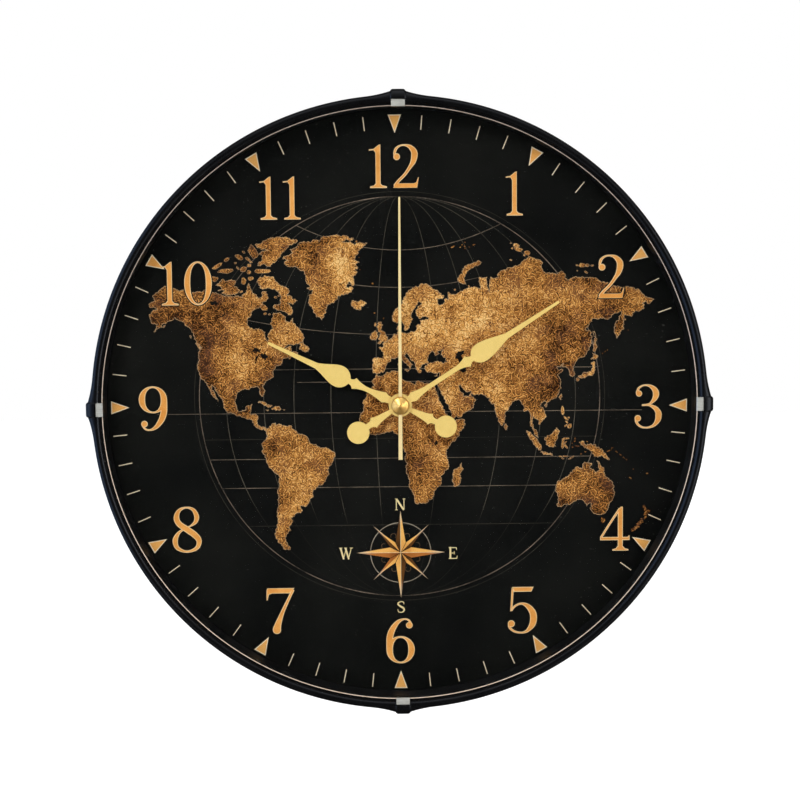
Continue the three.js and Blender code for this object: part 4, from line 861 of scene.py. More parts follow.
def inked(loops, rise):
    """A thin plate for each outline. It starts a hair inside the card and stands so high over it."""
    return [plate([loop], INK_ROOT, DIAL_FRONT + rise) for loop in loops]


def lined(paths, half, rise, closed=True):
    """A thin ribbon of that half width along each path."""
    return [ribbon(path, half, INK_ROOT, DIAL_FRONT + rise, closed) for path in paths]


def from_spot(tree, x, z):
    """How far a place on the print lies from a spot on the dial, in metres."""
    return vectors(tree, "DISTANCE", on_piece(tree), (x * MM, forward(DIAL_FRONT) * MM, z * MM))


# %% [markdown]
# The map uses a projection between a plain cylinder and a globe, fitted to where capes and
# bays stand in the photograph. Each coast is a list of capes, bays and straits.
# Most are given by longitude and latitude. Where the print is drawn freely, as on Greenland and
# the islands round it, they were read off the photograph instead. A seeded midpoint
# shake then breaks the straight runs into coves, as real coasts have them.

# %% Projection
NUDGES = (  # west, east, south, north, then how far the print stands off there in x and in z
    (-175, -159, 52, 72, 1.0, 0), (-141, -115, 30, 61, -0.9, 0), (-141, -131, 55, 61, -0.5, -0.3),
    (-98, -84, 51, 64, -1.1, 0), (-82, -76, 50, 63, -0.7, 0), (-99, -87, 17, 30.5, -0.3, -0.3),
    (-107, -93, 15, 22, -0.4, -0.5), (-82, -52, 31, 51, 0.6, 0), (-82, -74, 31, 37, 0.3, 0),
    (-79, -50, 4, 13, 0, -1.1), (-83, -72, -14, 6, 0.4, 0), (-41, -30, -25, 0, 1.2, 0),
    (-80, -69, -60, -38, -0.3, 0), (-80, -60, -60, -49, -1.0, -1.0), (-19, -7, 15, 31, 1.7, 0),
    (-16, -4, 3, 9, 0, -0.4), (9, 14, -18, -5, 0.7, 0), (9, 42, -40, -16, 0.5, 0),
    (0, 185, 66, 82, 0, 0.6), (98, 166, 68, 80, 0, 1.3), (168, 185, 66, 75, 0, -0.6),
    (4, 9, 58, 63, -0.6, 0), (-11, -7, 36, 45, 0.5, 0), (142, 157, -40, -10, -0.6, 0),
    (111, 118, -37, -18, 0.3, 0))


def on_dial(lon, lat):
    """Where a place on the globe stands on the dial. The print bends some lands, and so does this."""
    rad = math.radians(lat)
    tall = 1.25 * math.log(math.tan(math.pi / 4 + 0.4 * rad)) * 180 / math.pi
    drawn_in = 1 - 0.08 * (abs(lat) / 65) ** 2
    x = drawn_in * (0.7485 * lon - 9.41) + 2.26
    z = 0.8773 * tall - 18.24
    if lon < -30 and lat < -30:
        z += 2.9 * ease(-lat, 30, 55)
    if -20 < lon < 60 and lat < -15:
        z += 1.0 * ease(-lat, 15, 35)
    if lon > 110 and lat < -9:
        z -= 1.0
    if lon > 55:
        x -= 3.6 * min((lon - 55) / 55, 1.15) * ease(50 - lat, 0, 20) * (1 - 0.75 * ease(-lat, 9, 13))
    for west, east, south, north, dx, dz in NUDGES:
        share = (ease(lon, west - 2, west + 2) * ease(-lon, -east - 2, -east + 2)
                 * ease(lat, south - 2, south + 2) * ease(-lat, -north - 2, -north + 2))
        x, z = x + share * dx, z + share * dz
    return x, z


# %% Points of a coast
def seen_at(x, z):
    """A place read off the photograph, put right for the turn and the height of the camera."""
    return 0.9903 * x + 0.86, 0.995 * z - 0.0088 * x + 0.76


def coast(text, shake, seed, teeth=0.34):
    """Points of a coast on the dial: the named places, with seeded coves between them and small teeth.
    A place is longitude,latitude, or x/z as read off the photograph where the print is drawn freely."""
    rng = random.Random(seed)
    corners = []
    for pair in text.split():
        read_off = "/" in pair
        a, b = map(float, pair.split("/" if read_off else ","))
        corners.append(seen_at(a, b) if read_off else on_dial(a, b))

    def between(a, b):
        dx, dz = b[0] - a[0], b[1] - a[1]
        length = math.hypot(dx, dz)
        if length < 0.55:
            return []
        push = rng.uniform(-1, 1) * (shake if length > 1.6 else teeth)
        mid = ((a[0] + b[0]) / 2 - dz * push, (a[1] + b[1]) / 2 + dx * push)
        return between(a, mid) + [mid] + between(mid, b)

    points = []
    for i, corner in enumerate(corners):
        points.append(corner)
        points += between(corner, corners[(i + 1) % len(corners)])
    return points


# %% Small islands
def islet(x, z, long, wide, tilt, seed):
    """A small ragged island: an ellipse of nine points, each moved in or out by chance."""
    rng = random.Random(seed)
    x, z = seen_at(x, z)
    c, s = math.cos(math.radians(tilt)), math.sin(math.radians(tilt))
    loop = []
    for k in range(9):
        reach = rng.uniform(0.72, 1.2) / 2
        u, v = reach * long * math.cos(math.tau * k / 9), reach * wide * math.sin(math.tau * k / 9)
        loop.append((x + u * c - v * s, z + u * s + v * c))
    return loop


# %% Coasts of the Americas
COASTS = {}
COASTS["north_america"] = (
    "-168,65.6 -164,66.6 -166.5,68.3 -163,69.5 -156.6,71.3 -150,70.5 -141,69.7 -135,69.3 -128,70.2 "
    "-124.5,70.1 -123,69.3 -115,68.2 -108,67.9 -101,67.8 -77.5/52.2 -76/53.3 -75/55 -74.1/58.3 "
    "-73.1/55.5 -72/53.5 -70.5/52 -69.5/51 -68/51.5 -67.5/54.3 -65.6/54.4 -64.8/51.5 -65.8/49.6 "
    "-86.5,66.3 -87.5,64.5 -92,62.8 -94.5,60.2 -94.7,58.7 -92.4,57 -88,56.5 -82.3,55.2 -82.2,52.9 "
    "-80,51.2 -78.8,52.5 -79.5,54.7 -76.7,56.5 -78.5,58.8 -77.5,60.8 -78,62.4 -73.8,62.4 -70,61 "
    "-69.5,58.9 -66,58.8 -64.5,60.3 -61.5,57 -58,54.8 -55.7,52.5 -60,50.2 -66.5,50.2 -70,48 -65,49.2 "
    "-64.8,46.4 -60,46.3 -63.5,44.6 -65.8,43.6 -66,45 -70,43.7 -70.5,42 -70,41.7 -74,40.6 -75.5,38.5 "
    "-76,37 -75.6,35.3 -78,34 -81,32 -81.4,30.5 -80.1,27 -80.4,25.2 -81.8,26 -82.8,28.5 -84,30 "
    "-86,30.4 -89,30.3 -89.3,29.2 -91.5,29.5 -94.5,29.5 -97.2,27.7 -97.6,25 -97.8,22.5 -96.3,19.3 "
    "-94.5,18.2 -91.5,18.5 -90.5,20.8 -87,21.5 -87.7,18.5 -88.5,15.9 -84.5,15.9 -83.2,15 -83.6,11 "
    "-81.5,9 -79.7,9.5 -77.4,8.6 -77.9,7.3 -79.5,8.9 -80.5,7.4 -83,8.3 -85.7,10 -87.6,13 -91.5,14 "
    "-94.5,16.2 -97,15.8 -101.5,17.5 -105.5,20.3 -106.5,23.2 -109.3,25.8 -112.5,29.5 -114.7,31.7 "
    "-112.8,28 -110.5,24.5 -109.6,23 -112,25 -114.7,27.7 -116.2,30.5 -117.2,32.6 -120.6,34.5 "
    "-122.5,37.5 -124.3,40.4 -124,44 -124.6,48.3 -123,49 -127.5,51 -130.3,54.5 -133.5,57.5 -137,58.8 "
    "-140,59.8 -146,60.8 -149.5,59.8 -151.5,59.2 -153.5,58.8 -157,56.9 -160.5,55.6 -158.8,56.7 "
    "-157.5,58.6 -162,58.7 -164.5,60.5 -166,61.7 -164.5,63.1 -161,64 -163,64.5 -166.3,64.5")
COASTS["south_america"] = (
    "-77.4,8.6 -75.5,10.7 -72,12.2 -71.5,10.8 -68,11.5 -62,10.7 -60,8.5 -57,6 -52,4.8 -50,1 "
    "-48.5,-0.8 -44.3,-2.6 -40,-2.8 -37,-4.9 -35,-5.6 -34.8,-8 -37,-11.5 -39,-13.5 -39,-17.5 "
    "-40.8,-21.5 -42,-23 -45,-23.8 -48.5,-25.8 -48.7,-28.5 -52,-33 -54.5,-34.8 -57.8,-34.4 -57,-36.5 "
    "-57.6,-38 -62,-39 -65,-41 -63.7,-42.5 -65.5,-45 -67.5,-46.3 -65.8,-47.8 -69,-51 -68.4,-52.5 "
    "-66,-54.8 -67.5,-55.8 -71.5,-54 -74.5,-51 -75.5,-47 -73.5,-44 -73.8,-40 -73.5,-37 -71.6,-33 "
    "-71.4,-29.5 -70.4,-24 -70.3,-18.4 -73,-16.5 -76.3,-13.9 -79,-8.2 -81.2,-5 -80,-3 -81,-1 -80,1 "
    "-78.8,1.8 -77.3,4 -77.5,7")
COASTS["greenland"] = (
    "-57.5/70.2 -54.6/71.6 -52.2/73 -53.8/74.5 -51.3/75.5 -49.3/77.3 -46.5/78.1 -43.6/77.9 -42/79.1 "
    "-39.5/78.5 -38.7/80.1 -36.7/80.7 -33.8/81.2 -30.6/81.6 -27.3/81.4 -25.3/80.7 -22.6/79.5 "
    "-24.8/78.9 -28.9/78.4 -24.1/77.9 -19.2/77.7 -16.3/77.5 -18.3/75.6 -20.8/73.4 -22/71.4 -22.2/69.3 "
    "-20/68.5 -22/67.7 -20.8/65.7 -22.4/64.8 -21/63.6 -23.2/61.6 -22.9/60 -23/57.5 -25.7/58.9 "
    "-26.9/56.3 -23/55.7 -25.3/53.8 -28.1/52.6 -30.6/52.2 -31.8/50.2 -33.8/48.9 -36.3/47.7 -36.5/46.1 "
    "-37.7/43.3 -38.7/40.4 -40/42.1 -41.2/41.8 -42.8/44.5 -44/46.9 -45/50.2 -44.8/52.6 -43.2/53.4 "
    "-43/55.1 -45.8/55.5 -43.6/56.7 -46.1/58.3 -46.5/61.6 -47.7/64.4 -50.5/66.1 -53.8/66.1 -56.6/68.1 "
    "-54.6/69.1")
ISLANDS_WEST = [
    ("-70.7/76.9 -66.3/78.9 -62.8/79.9 -58.9/80.6 -55/80.3 -50.1/78.6 -52.6/77.2 -54.5/75.9 -56/74.5 "
     "-57.9/72.5 -59.9/70.1 -61.4/68.1 -63.3/66.4 -69.7/66.7 -67.7/69.1 -67.2/71.1 -68.7/72.5 "
     "-67.7/73.5 -64.3/74 -67.7/74.5 -69.7/75.5"),
    ("-70.2/58.8 -68.7/61.3 -65.8/61.8 -62.3/61.5 -59.9/58.3 -57.9/57.4 -56/56.4 -54.5/54.7 -55.5/53 "
     "-54/52 -50.6/49.8 -52.6/48.1 -55/49 -53.2/43.6 -55.2/42.8 -58.9/45.1 -62.3/46.3 -61.9/47.6 "
     "-59.2/48 -58.9/50.4 -57.9/52 -59.4/53.4 -60.9/54.9 -63.3/55.6 -66.7/55.6 -68.7/56.4"),
    ("-90.2/57.4 -87.3/60 -84.4/59.3 -82.4/60 -80.4/59.3 -81.4/56.9 -78.5/54.9 -80.4/53.4 -85.8/53.1 "
     "-87.3/53.7 -85.8/54.9 -89.2/54.7 -87.3/55.9"),
    "-59,47.8 -56.5,51.5 -53,48.5 -53,46.7 -55.8,47",
    "-128,50.7 -125,50.2 -123.4,48.4 -125.3,48.8",
    "-83.5,22.1 -82.2,22.7 -79,22.4 -74.3,20.2 -77.7,20.2 -78.2,21.2 -82,22.5",
    "-74.3,18.4 -73,19.7 -69,19.2 -68.4,18.5 -71.5,17.9",
    "-78.2,18.4 -76.3,18.1 -77.3,17.8",
    "-67.2,18.4 -65.7,18.3 -66.3,17.9",
    "-154.5,57.3 -152.3,58.3 -152.6,57.3",
    "-132.8,54 -131.7,53.8 -131.6,52.8",
    ("-24.4/48.6 -23.2/50 -21.3/49.3 -19.3/50 -17.8/49.5 -16.9/48.3 -18.8/47.1 -20.8/45.6 -23/46.1 "
     "-23.7/47.1"),
]
SPECKS_WEST = (
    (-89.2, 66.6, 5.4, 2, 32), (-85.3, 64.2, 8.2, 2.1, 2), (-84.8, 69.6, 2.9, 1.6, 35),
    (-80.4, 68, 1.2, 0.8, 0), (-78.5, 70.8, 4.8, 2.1, -33), (-76.3, 73.3, 1.6, 1, -45),
    (-74.4, 70, 2.9, 1.3, -35), (-73, 68.6, 1.8, 0.8, -20), (-73.8, 66.9, 2.1, 1.4, 0),
    (-73.8, 63.7, 2.2, 1.9, 0), (-76.5, 65.2, 3.2, 2.6, 20), (-79.3, 65.6, 2, 0.8, -50),
    (-71.7, 73.6, 6.4, 4.4, -60), (-67.7, 64, 8.8, 2.2, 0), (-73.1, 60.7, 3.2, 2, 20),
    (-76.6, 59.3, 4.2, 2.5, 90), (-90.7, 60.3, 3.8, 2.8, -15), (-77.8, 54.2, 1.6, 1, 20),
    (-61.1, 51.5, 1.4, 1.2, 0), (-59.6, 52.2, 0.9, 0.7, 0), (-67, 46.6, 4.4, 2.6, -40),
    (-66.3, 43.6, 1.5, 1, 20), (-64.3, 43.2, 1, 0.8, 0), (-12.7, 38.3, 1.8, 0.9, 75))

# %% Coasts of Europe, Asia and Africa
COASTS["eurasia"] = (
    "-9,37 -9.5,38.7 -8.8,41.5 -9.2,43.1 -8,43.8 -1.8,43.4 -1.2,46 -4.7,48.3 -1.5,48.7 -1.8,49.7 "
    "1.6,50.8 4,52 5,53.3 8.5,53.8 8.2,55.5 8.3,57 10.6,57.7 10.3,56 9.8,54.8 12.3,54.2 14.2,53.9 "
    "18.5,54.7 21,55.3 21,57 22,57.6 24,57.2 23.5,59.2 28,59.5 30,59.9 28,60.5 25,60.2 22.8,59.9 "
    "21.3,61 21.3,63 25.3,65 22.2,65.8 21,64.5 17.5,62 17.2,60.7 18.8,59.8 16.7,58 16.2,56.3 "
    "14.2,55.5 12.8,55.5 11.3,58.5 10.5,59.2 8,58.1 5.7,58.8 5,61 8,63.5 11,64.9 14,67.5 18.5,69.8 "
    "25.7,71.1 31,70.3 33.5,69.3 41,67.3 39.5,66.3 35.5,66.5 36.5,65 38.2,64.5 40.5,64.9 42,66.4 "
    "44.2,66 44,68.4 46.5,67.5 53.5,68.7 60.5,69.8 67,69 67,72.8 72.5,72.8 72.8,69 73.5,68 74,71 "
    "75,72.8 80.5,72.5 80.5,73.7 87,75 98,76.2 104,77.7 113.5,76 113,73.9 120,73 127,73.5 131,71 "
    "140,71.8 150,71.6 160,69.7 170.5,70 176,69.8 180,69 124/50.5 122/48.6 119.6/50 118.1/48.6 "
    "119.1/46.1 117.1/45.1 114.2/44.2 112.7/42.2 110.8/42.7 109.3/43.2 109.1/40.7 109.3/38.3 "
    "108.8/35.8 107.3/33.4 105.9/31.4 105.4/33.4 104.6/35.4 104.9/38.3 106.4/40.2 107.6/42.7 "
    "108.4/44.6 106.4/44.2 104.4/43.7 102.9/41.7 101/40.7 97.6/41.5 94.1/41.2 92.2/38.8 90.2/35.8 "
    "92.7/34.9 93.6/32.4 93.4/29 92.2/26.1 90.7/23.6 88.3/22.2 86/20.6 84.8/18.7 84.4/16.8 85.1/14.3 "
    "83.9/12.6 82.6/13.8 82.2/16.3 80.9/17.8 121.3,38.8 122,40.6 118,39 118.9,37.3 122.5,37.2 "
    "119.3,35 121.9,31.5 121.7,28.5 119.5,25.5 116.5,23 113.8,22.2 110.4,20.3 109.5,21.6 106.7,20.5 "
    "105.8,18.7 108.8,15.5 109.3,12.5 106.7,10.3 104.8,8.6 104.8,10.3 102.5,12 100.6,13.4 99.5,11 "
    "100.3,8 103.4,4.5 104,1.4 101.3,2.9 100.3,6 98.3,8.2 98.6,11.5 97.6,16.5 94.3,16 94.2,18.8 "
    "92,21.5 90.5,22.5 87,21.4 85,19.7 82.3,16.6 80.2,15 80.2,13 79.9,10.3 78,8.2 76.3,10 74.8,13 "
    "73,17.5 72.7,20.5 70.5,20.9 69,22.3 70,23 67,24.8 61.6,25.1 57.5,25.7 56.8,27.1 54,26.6 "
    "51.5,27.9 50,30.2 48.2,30 48.8,27.8 50.2,26.5 51.3,25.9 51.6,24.3 54.5,24.3 56.4,26.2 56.6,24.5 "
    "59.8,22.5 57.8,19 55,17 52,15.6 45,12.8 43.4,12.7 42.8,16 39.1,21.4 36.5,26 34.9,29.4 34.3,31.2 "
    "35.1,33 36,36 36,36.8 32.5,36.1 30.6,36.8 28,36.7 26.4,38.3 26.2,39.5 29,41 31.5,41.2 35,42 "
    "38,41 41.5,41.6 40,43.5 37.3,44.8 39.3,47.2 35,46.3 36.4,45.3 33.6,44.5 32.8,46 30.8,46.5 "
    "28.7,44 27.9,42.5 28.9,41.3 26.2,40.7 23.8,40.2 23,39 24,37.8 22.8,36.5 21.4,37.5 20,39.7 "
    "19.4,41.8 16.5,43.4 13.7,45.6 12.4,44.8 13.7,43.4 16.1,41.8 18.4,40.2 16.9,40.4 16.6,39 15.9,38 "
    "15.6,40 12.3,41.8 10.3,43.7 8.8,44.4 6.2,43.1 3.2,43.2 3.2,42 0,39.7 -0.3,38.5 -2,36.8 -5.5,36.1")
COASTS["africa"] = (
    "-5.9,35.8 -2,35.1 3,36.9 10,37.3 10.2,34 15.2,32.3 20,30.8 20.1,32.6 25,31.6 32.3,31.2 32.5,29.9 "
    "33.6,27.2 35.2,24 36.9,20 39.1,15.5 42.9,12.4 43.3,11.5 51.2,11.9 48,4.5 42.5,-1 39.3,-5 "
    "40.5,-11 40.7,-15 35,-20 35.4,-24 32.8,-26 31,-29.8 27,-33.7 22,-34.2 20,-34.8 18.3,-33.9 18,-31 "
    "15.2,-27 14.5,-22.5 11.8,-17 13.6,-12 12.2,-6 9,-1 9.6,3.9 7,4.4 4.5,6.3 -2,4.8 -7.6,4.4 -13,8.5 "
    "-17,13 -17.4,14.7 -16.3,19 -17,21 -15,24.5 -12.9,27.7 -9.7,30 -9.3,32.5 -6.8,34.1")
ISLANDS_MIDDLE = [
    "49.3,-12 50.4,-15.8 47.2,-25 45,-25.5 43.4,-22 44.4,-19.5 44.4,-16.2 47,-15.4",
    ("-5.6,50.1 -3.5,51.4 -5,51.8 -4.3,53.2 -3,54 -5,54.8 -6,56.5 -5,58.6 -3,58.6 -2,57.5 -3.3,56 "
     "-1.5,55 0.2,53 1.7,52.7 1.3,51.2 -1.5,50.7"),
    "-6.2,52.2 -6,53.5 -5.6,54.6 -7.5,55.3 -10,54.2 -10.3,52 -9.5,51.5",
    ("27.9/59.8 28.6/61.8 29.8/64.2 31.1/66.2 33.5/67.4 35.9/68.4 38.4/69.1 39.6/68.6 38.9/67.6 "
     "35.9/66.7 34/65.4 32.8/64.2 31.5/62.7 30.8/60.8 31.1/59.3 31.8/57.8 30.1/58.1 28.4/59.1"),
    "12.8,37.9 15.3,38.1 15,37",
    "8.2,40.9 9.6,41 9.5,39.2 8.5,39",
    "8.6,42.4 9.5,43 9.3,41.5",
    "32.4,34.9 34.4,35.5 33.6,34.7",
]
SPECKS_MIDDLE = (
    (33.3, 56.9, 1, 0.7, -40), (26.4, 55.2, 1, 0.9, 0), (56.2, 76.7, 3.2, 1.9, -10),
    (57.5, 74.7, 4.4, 2, -20), (54.5, 75.2, 1.1, 0.8, 0), (61.9, 73, 3, 2.4, -40),
    (60.4, 72, 0.9, 1.2, 0), (53.8, 77.7, 0.9, 0.5, 0), (53.8, 69.6, 1.4, 0.5, -20),
    (89, 67.1, 4.2, 2, 0), (91.2, 67.1, 2, 1.6, 0), (93.6, 66.9, 1.6, 0.8, 10),
    (86.1, 67.1, 0.9, 0.8, 0), (90.5, 63.7, 2, 0.9, -35), (86.3, 64.4, 0.6, 0.6, 0))

# %% Coasts of the south and the far east
COASTS["australia"] = (
    "113.5,-26 113.7,-22.5 116.8,-20.6 121.5,-19 122.3,-17 124,-16.3 126.5,-14 129.5,-14.9 "
    "130.8,-12.4 133,-11.4 136.8,-12.2 135.7,-15 139.5,-17.6 141.6,-15 142.5,-10.7 143.8,-14.3 "
    "145.4,-15 146.3,-18.9 149.5,-21.5 152.9,-25.3 153.6,-28.6 151.5,-33 150,-37.2 146.4,-39 "
    "143.5,-38.8 140.5,-38 138,-35.6 137.8,-33 135.7,-34.9 131.2,-31.5 126,-32.3 123.6,-33.9 118,-35 "
    "115.1,-34.3 115.7,-31.8")
ISLANDS_SOUTH = [
    "146.2,-40.8 149.3,-40.9 148.8,-42.6 147.2,-42.8",
    "173.5,-34.5 176.2,-36.5 179,-37.7 177.6,-39.3 176,-41.5 174.8,-39.3 175.4,-37.5",
    "173.8,-41 175,-41.9 173.5,-44 171.5,-46.3 169.6,-47 168,-46.3 171.8,-43.2",
]
ISLANDS_EAST = [
    ("87.3/-19.4 89.2/-18.9 90.7/-21.2 92.7/-20.4 95.6/-21.4 97.6/-22.8 99.5/-24.8 102.4/-28.2 "
     "100.5/-27.4 98.5/-25.9 96.6/-27 94.6/-26.3 93.6/-24.8 92.7/-23.2 89.7/-21.8"),
    ("109,1.5 111.4,2.5 113.5,3.5 116.8,7 119,5.2 117.8,3 117.5,0.8 116.3,-3.5 114.5,-4 110.2,-2.8 "
     "109,0"),
    "95.3,5.6 98,4.5 100.5,2.2 103.8,-1 106,-3 105.8,-5.8 102.3,-4 100.3,-1 97.5,1.8",
    "105.2,-6.8 108.5,-6.6 112.6,-6.9 114.5,-8.5 109,-7.8",
    "120.1,23 121.5,25.2 121.8,24.5 120.8,22",
    "108.7,19.3 111,19.9 109.6,18.2",
    "79.8,9.5 81.8,7.5 80.5,5.9 79.8,7",
    ("86.8/12.9 88.8/13.8 90.7/14.8 92.7/15.3 93.6/16.8 93.4/19.7 94.4/20.2 94.9/17.8 94.6/15.3 "
     "94.1/13.8 91.7/13.3 90.2/12.6 88.3/12"),
    "93.2/21.2 94.1/23.1 93.9/24.6 95.1/23.6 96.6/22.9 95.1/21.4 93.9/21.7",
    "94.1/34.9 94.9/34.9 95.8/30.5 95.4/25.6 94.6/25.1 94.6/29",
]
SPECKS_EAST = (
    (86.6, 11.4, 1.5, 2, 0), (109.8, 40.7, 0.8, 0.6, 20), (79.2, -4.3, 4.6, 1.6, 95),
    (80.9, -7.9, 3, 0.9, -40), (82.2, -7.4, 1.2, 0.7, -20), (81.2, -9.6, 1.8, 0.8, -50),
    (80.7, -11.3, 1.8, 0.7, 40), (82.6, -11.6, 2.7, 2, 60), (79.2, -20.4, 5.2, 1.2, 85),
    (80.9, -17.7, 4.2, 0.8, 5), (80.7, -21.4, 3.6, 1, -50), (80.4, -19.7, 2, 0.8, 35),
    (83.4, -27.2, 3.2, 0.7, 32), (80.4, -26.5, 3, 0.6, 0), (78, -26.5, 2, 0.6, 0),
    (79.2, -27.5, 1.6, 0.7, -20))
SPECKS_FAINT = (
    (-21.4, 78.6, 1.1, 0.8, 0), (-20.2, 70.8, 0.9, 0.6, 0), (-19.8, 64.9, 0.8, 0.6, 0),
    (-13.7, 58.1, 1.1, 0.8, 0), (-13, 43.9, 0.9, 0.8, 0), (-8.6, 41.2, 0.8, 0.8, 0),
    (25.4, 75.9, 2.8, 0.7, 25), (31.5, 78.1, 0.6, 0.5, 0), (30.1, 76.9, 0.7, 0.6, 0),
    (31.3, 76.2, 0.8, 0.6, 0), (29.1, 75.7, 0.9, 0.5, 0), (33.5, 75.9, 0.9, 0.7, 0),
    (31.5, 75, 0.8, 0.7, 0), (35.7, 76.9, 1.4, 0.6, 15), (85.3, -18.4, 2.8, 0.8, 85),
    (86.3, -21.4, 2.2, 0.8, -5), (84.1, -21.9, 1, 0.9, 0), (83.9, -20.1, 0.7, 0.5, 0),
    (90.5, -24.3, 1, 0.7, 50), (88.3, -25.3, 1, 0.8, 40), (91.2, -19.2, 0.9, 0.7, 0),
    (102.2, -23.8, 2.6, 0.7, 20), (103.7, -22.6, 1.6, 0.7, 55), (105.9, -24.3, 1.3, 0.6, -40),
    (107.8, -25.8, 1.2, 0.6, -40), (109.5, -27.2, 1.2, 0.6, -40), (110.8, -28.2, 0.9, 0.6, -40),
    (112.7, -37.3, 1.4, 0.8, -40), (114.2, -32.9, 0.7, 0.5, 40), (121, -35, 1.1, 0.8, 0),
    (111.5, 35.6, 1, 0.5, 0), (98.8, 24.1, 0.8, 0.5, 40), (100, 25.1, 0.7, 0.4, 40),
    (101.2, 25.8, 0.5, 0.4, 40))
LAKES = [
    ("47,45.5 49.5,46.5 53,46.7 53,44.8 51,44.5 52.5,41.8 53.8,39.5 53.7,37 51,36.7 49,37.6 49.5,40.3 "
     "47.6,43"),
    "58.5,45 60,46.5 61.5,46 60.5,44",
    "32,-0.5 33.5,0.3 34,-1 33,-2.5 31.8,-2",
    "-92,46.8 -88.5,48.7 -85,47.9 -84.7,46.6 -88,46.9",
    "-87.8,42 -87.5,44.5 -85.3,46 -84.9,45.7 -86.3,43.5 -86.8,41.8",
    "-84.5,45.9 -81.5,46 -80,44.7 -81.7,43.3 -83.3,43.9",
    "-83.3,41.7 -80,42.8 -78.9,42.8 -81.5,41.6",
    "-79.7,43.3 -76.3,44 -76.4,43.5",
    "-125,66.5 -120,66.5 -118,65.5 -122,65",
    "-116.5,61.2 -109.5,62.7 -113,61.2",
    "-98.8,53.7 -96.5,52 -96.8,50.5 -98.2,51.8",
]

# %% [markdown]
# The land itself is gilt foil that has crackled: dark brown hollows, dull gold and fine
# bright strands. The photograph is brighter over Europe and darker over Alaska and China,
# so each land has soft pools of light or shade, given by a place, a radius and an amount.

# %% Foil land
def foil_finish(name, glow, pools=()):
    material, tree, shader = blank(name, specular=0.08)
    surface = place_group(tree, foil)
    level = add(tree, "ShaderNodeValue").outputs[0]
    level.default_value = glow
    for x, z, radius, amount in pools:
        pool = span(tree, from_spot(tree, x, z), 0.0, radius * MM, amount, 0.0, smooth=True)
        level = total(tree, level, pool)
    feed(level, surface, "Glow")
    feed(surface.outputs["Color"], shader, "Base Color")
    feed(surface.outputs["Roughness"], shader, "Roughness")
    bump(tree, shader, surface.outputs["Height"], 0.3, 0.00006)
    return material


FOIL = {
    "north_america": foil_finish("foil_north_america", -0.12, (
        (-118, 50, 46, -0.22), (-96, 26, 28, -0.2), (-70, 34, 30, 0.22))),
    "south_america": foil_finish("foil_south_america", 0.0, ((-48, -27, 20, 0.18), (-56, -52, 20, 0.08))),
    "greenland": foil_finish("foil_greenland", 0.06, ((-46, 73, 20, -0.26), (-26, 68, 20, 0.28))),
    "eurasia": foil_finish("foil_eurasia", -0.02, (
        (22, 44, 64, 0.33), (100, 48, 50, -0.16), (77, 14, 28, -0.24), (66, 30, 14, 0.06),
        (66, 62, 24, -0.1))),
    "africa": foil_finish("foil_africa", -0.04, ((4, -2, 20, 0.1),)),
    "australia": foil_finish("foil_australia", -0.25, ((96, -36, 16, 0.08),)),
}
dim_foil = foil_finish("foil_dim", -0.36)
faint_foil = foil_finish("foil_faint", -0.24)
island_foil = foil_finish("foil_islands", 0.06, ((70, -20, 40, -0.06), (-90, 60, 40, -0.04)))
shore_ink = printed("shore_ink", srgb(114, 85, 60), srgb(220, 183, 140), 420, 0.5)
lake_ink = printed("lake_ink", srgb(12, 11, 10), srgb(24, 21, 18), 120)


LAND_RISE, SHORE_RISE, LAKE_RISE = 0.08, 0.1, 0.11


def land(name, loops, finish, shore=0.13):
    on_dial_face(name, inked(loops, LAND_RISE), finish)
    on_dial_face(name + "_shore", lined(loops, shore, SHORE_RISE), shore_ink)


for seed, (name, text) in enumerate(COASTS.items()):
    land(name, [coast(text, 0.17, seed, 0.45 if name == "greenland" else 0.34)], FOIL[name])
for name, group_text, specks in (("islands_west", ISLANDS_WEST, SPECKS_WEST),
                                 ("islands_middle", ISLANDS_MIDDLE, SPECKS_MIDDLE),
                                 ("islands_east", ISLANDS_EAST, SPECKS_EAST)):
    land(name, [coast(text, 0.18, 100 + i, 0.42) for i, text in enumerate(group_text)], island_foil)
    land(name + "_specks", [islet(*where, 300 + i) for i, where in enumerate(specks)], island_foil, 0.08)
south = [coast(text, 0.18, 150 + i, 0.42) for i, text in enumerate(ISLANDS_SOUTH)]
on_dial_face("islands_south", inked(south, LAND_RISE), dim_foil)
specks = [islet(*where, 400 + i) for i, where in enumerate(SPECKS_FAINT)]
on_dial_face("islands_faint", inked(specks, LAND_RISE), faint_foil)
lakes = [coast(text, 0.15, 200 + i) for i, text in enumerate(LAKES)]
on_dial_face("lakes", inked(lakes, LAKE_RISE), lake_ink)

# %% [markdown]
# Behind the land lies a faint globe: a circle with a fainter one outside it, meridians that
# run together at the poles, and parallels, which bend near the top. They are hair lines in
# dull grey gold. Lines in a texture would cost no faces, but ribbons stay crisp at any size.
# The cloudy colour wears the ribbons away in places, and the meridians fade above and below.

# %% Globe lines
outline_ink = printed("outline_ink", srgb(34, 31, 28), srgb(156, 136, 120), 75, 0.3)
globe_ink = printed("globe_ink", srgb(30, 28, 26), srgb(150, 132, 114), 75, 0.3)
faint_ink = printed("faint_ink", srgb(18, 18, 17), srgb(70, 64, 55), 60, 0.35)
worn_ink, tree, shader = blank("worn_ink", specular=0.05)
streaks = place_group(tree, cloud, Deep=srgb(18, 18, 17), Pale=srgb(116, 107, 94), Scale=70.0,
                      Speck_Share=0.35)
height = along_axis(tree, "Z")
left_on = product(tree, span(tree, height, -0.06, -0.043, 0.1, 1.0, smooth=True),
                  span(tree, height, 0.05, 0.085, 1.0, 0.6, smooth=True))
feed(blend(tree, left_on, srgb(19, 19, 18), streaks.outputs["Color"]), shader, "Base Color")
grained(tree, shader, 1600.0, 0.5, 0.65)
GLOBE, GLOBE_R = (0.0, 3.0), 97.4
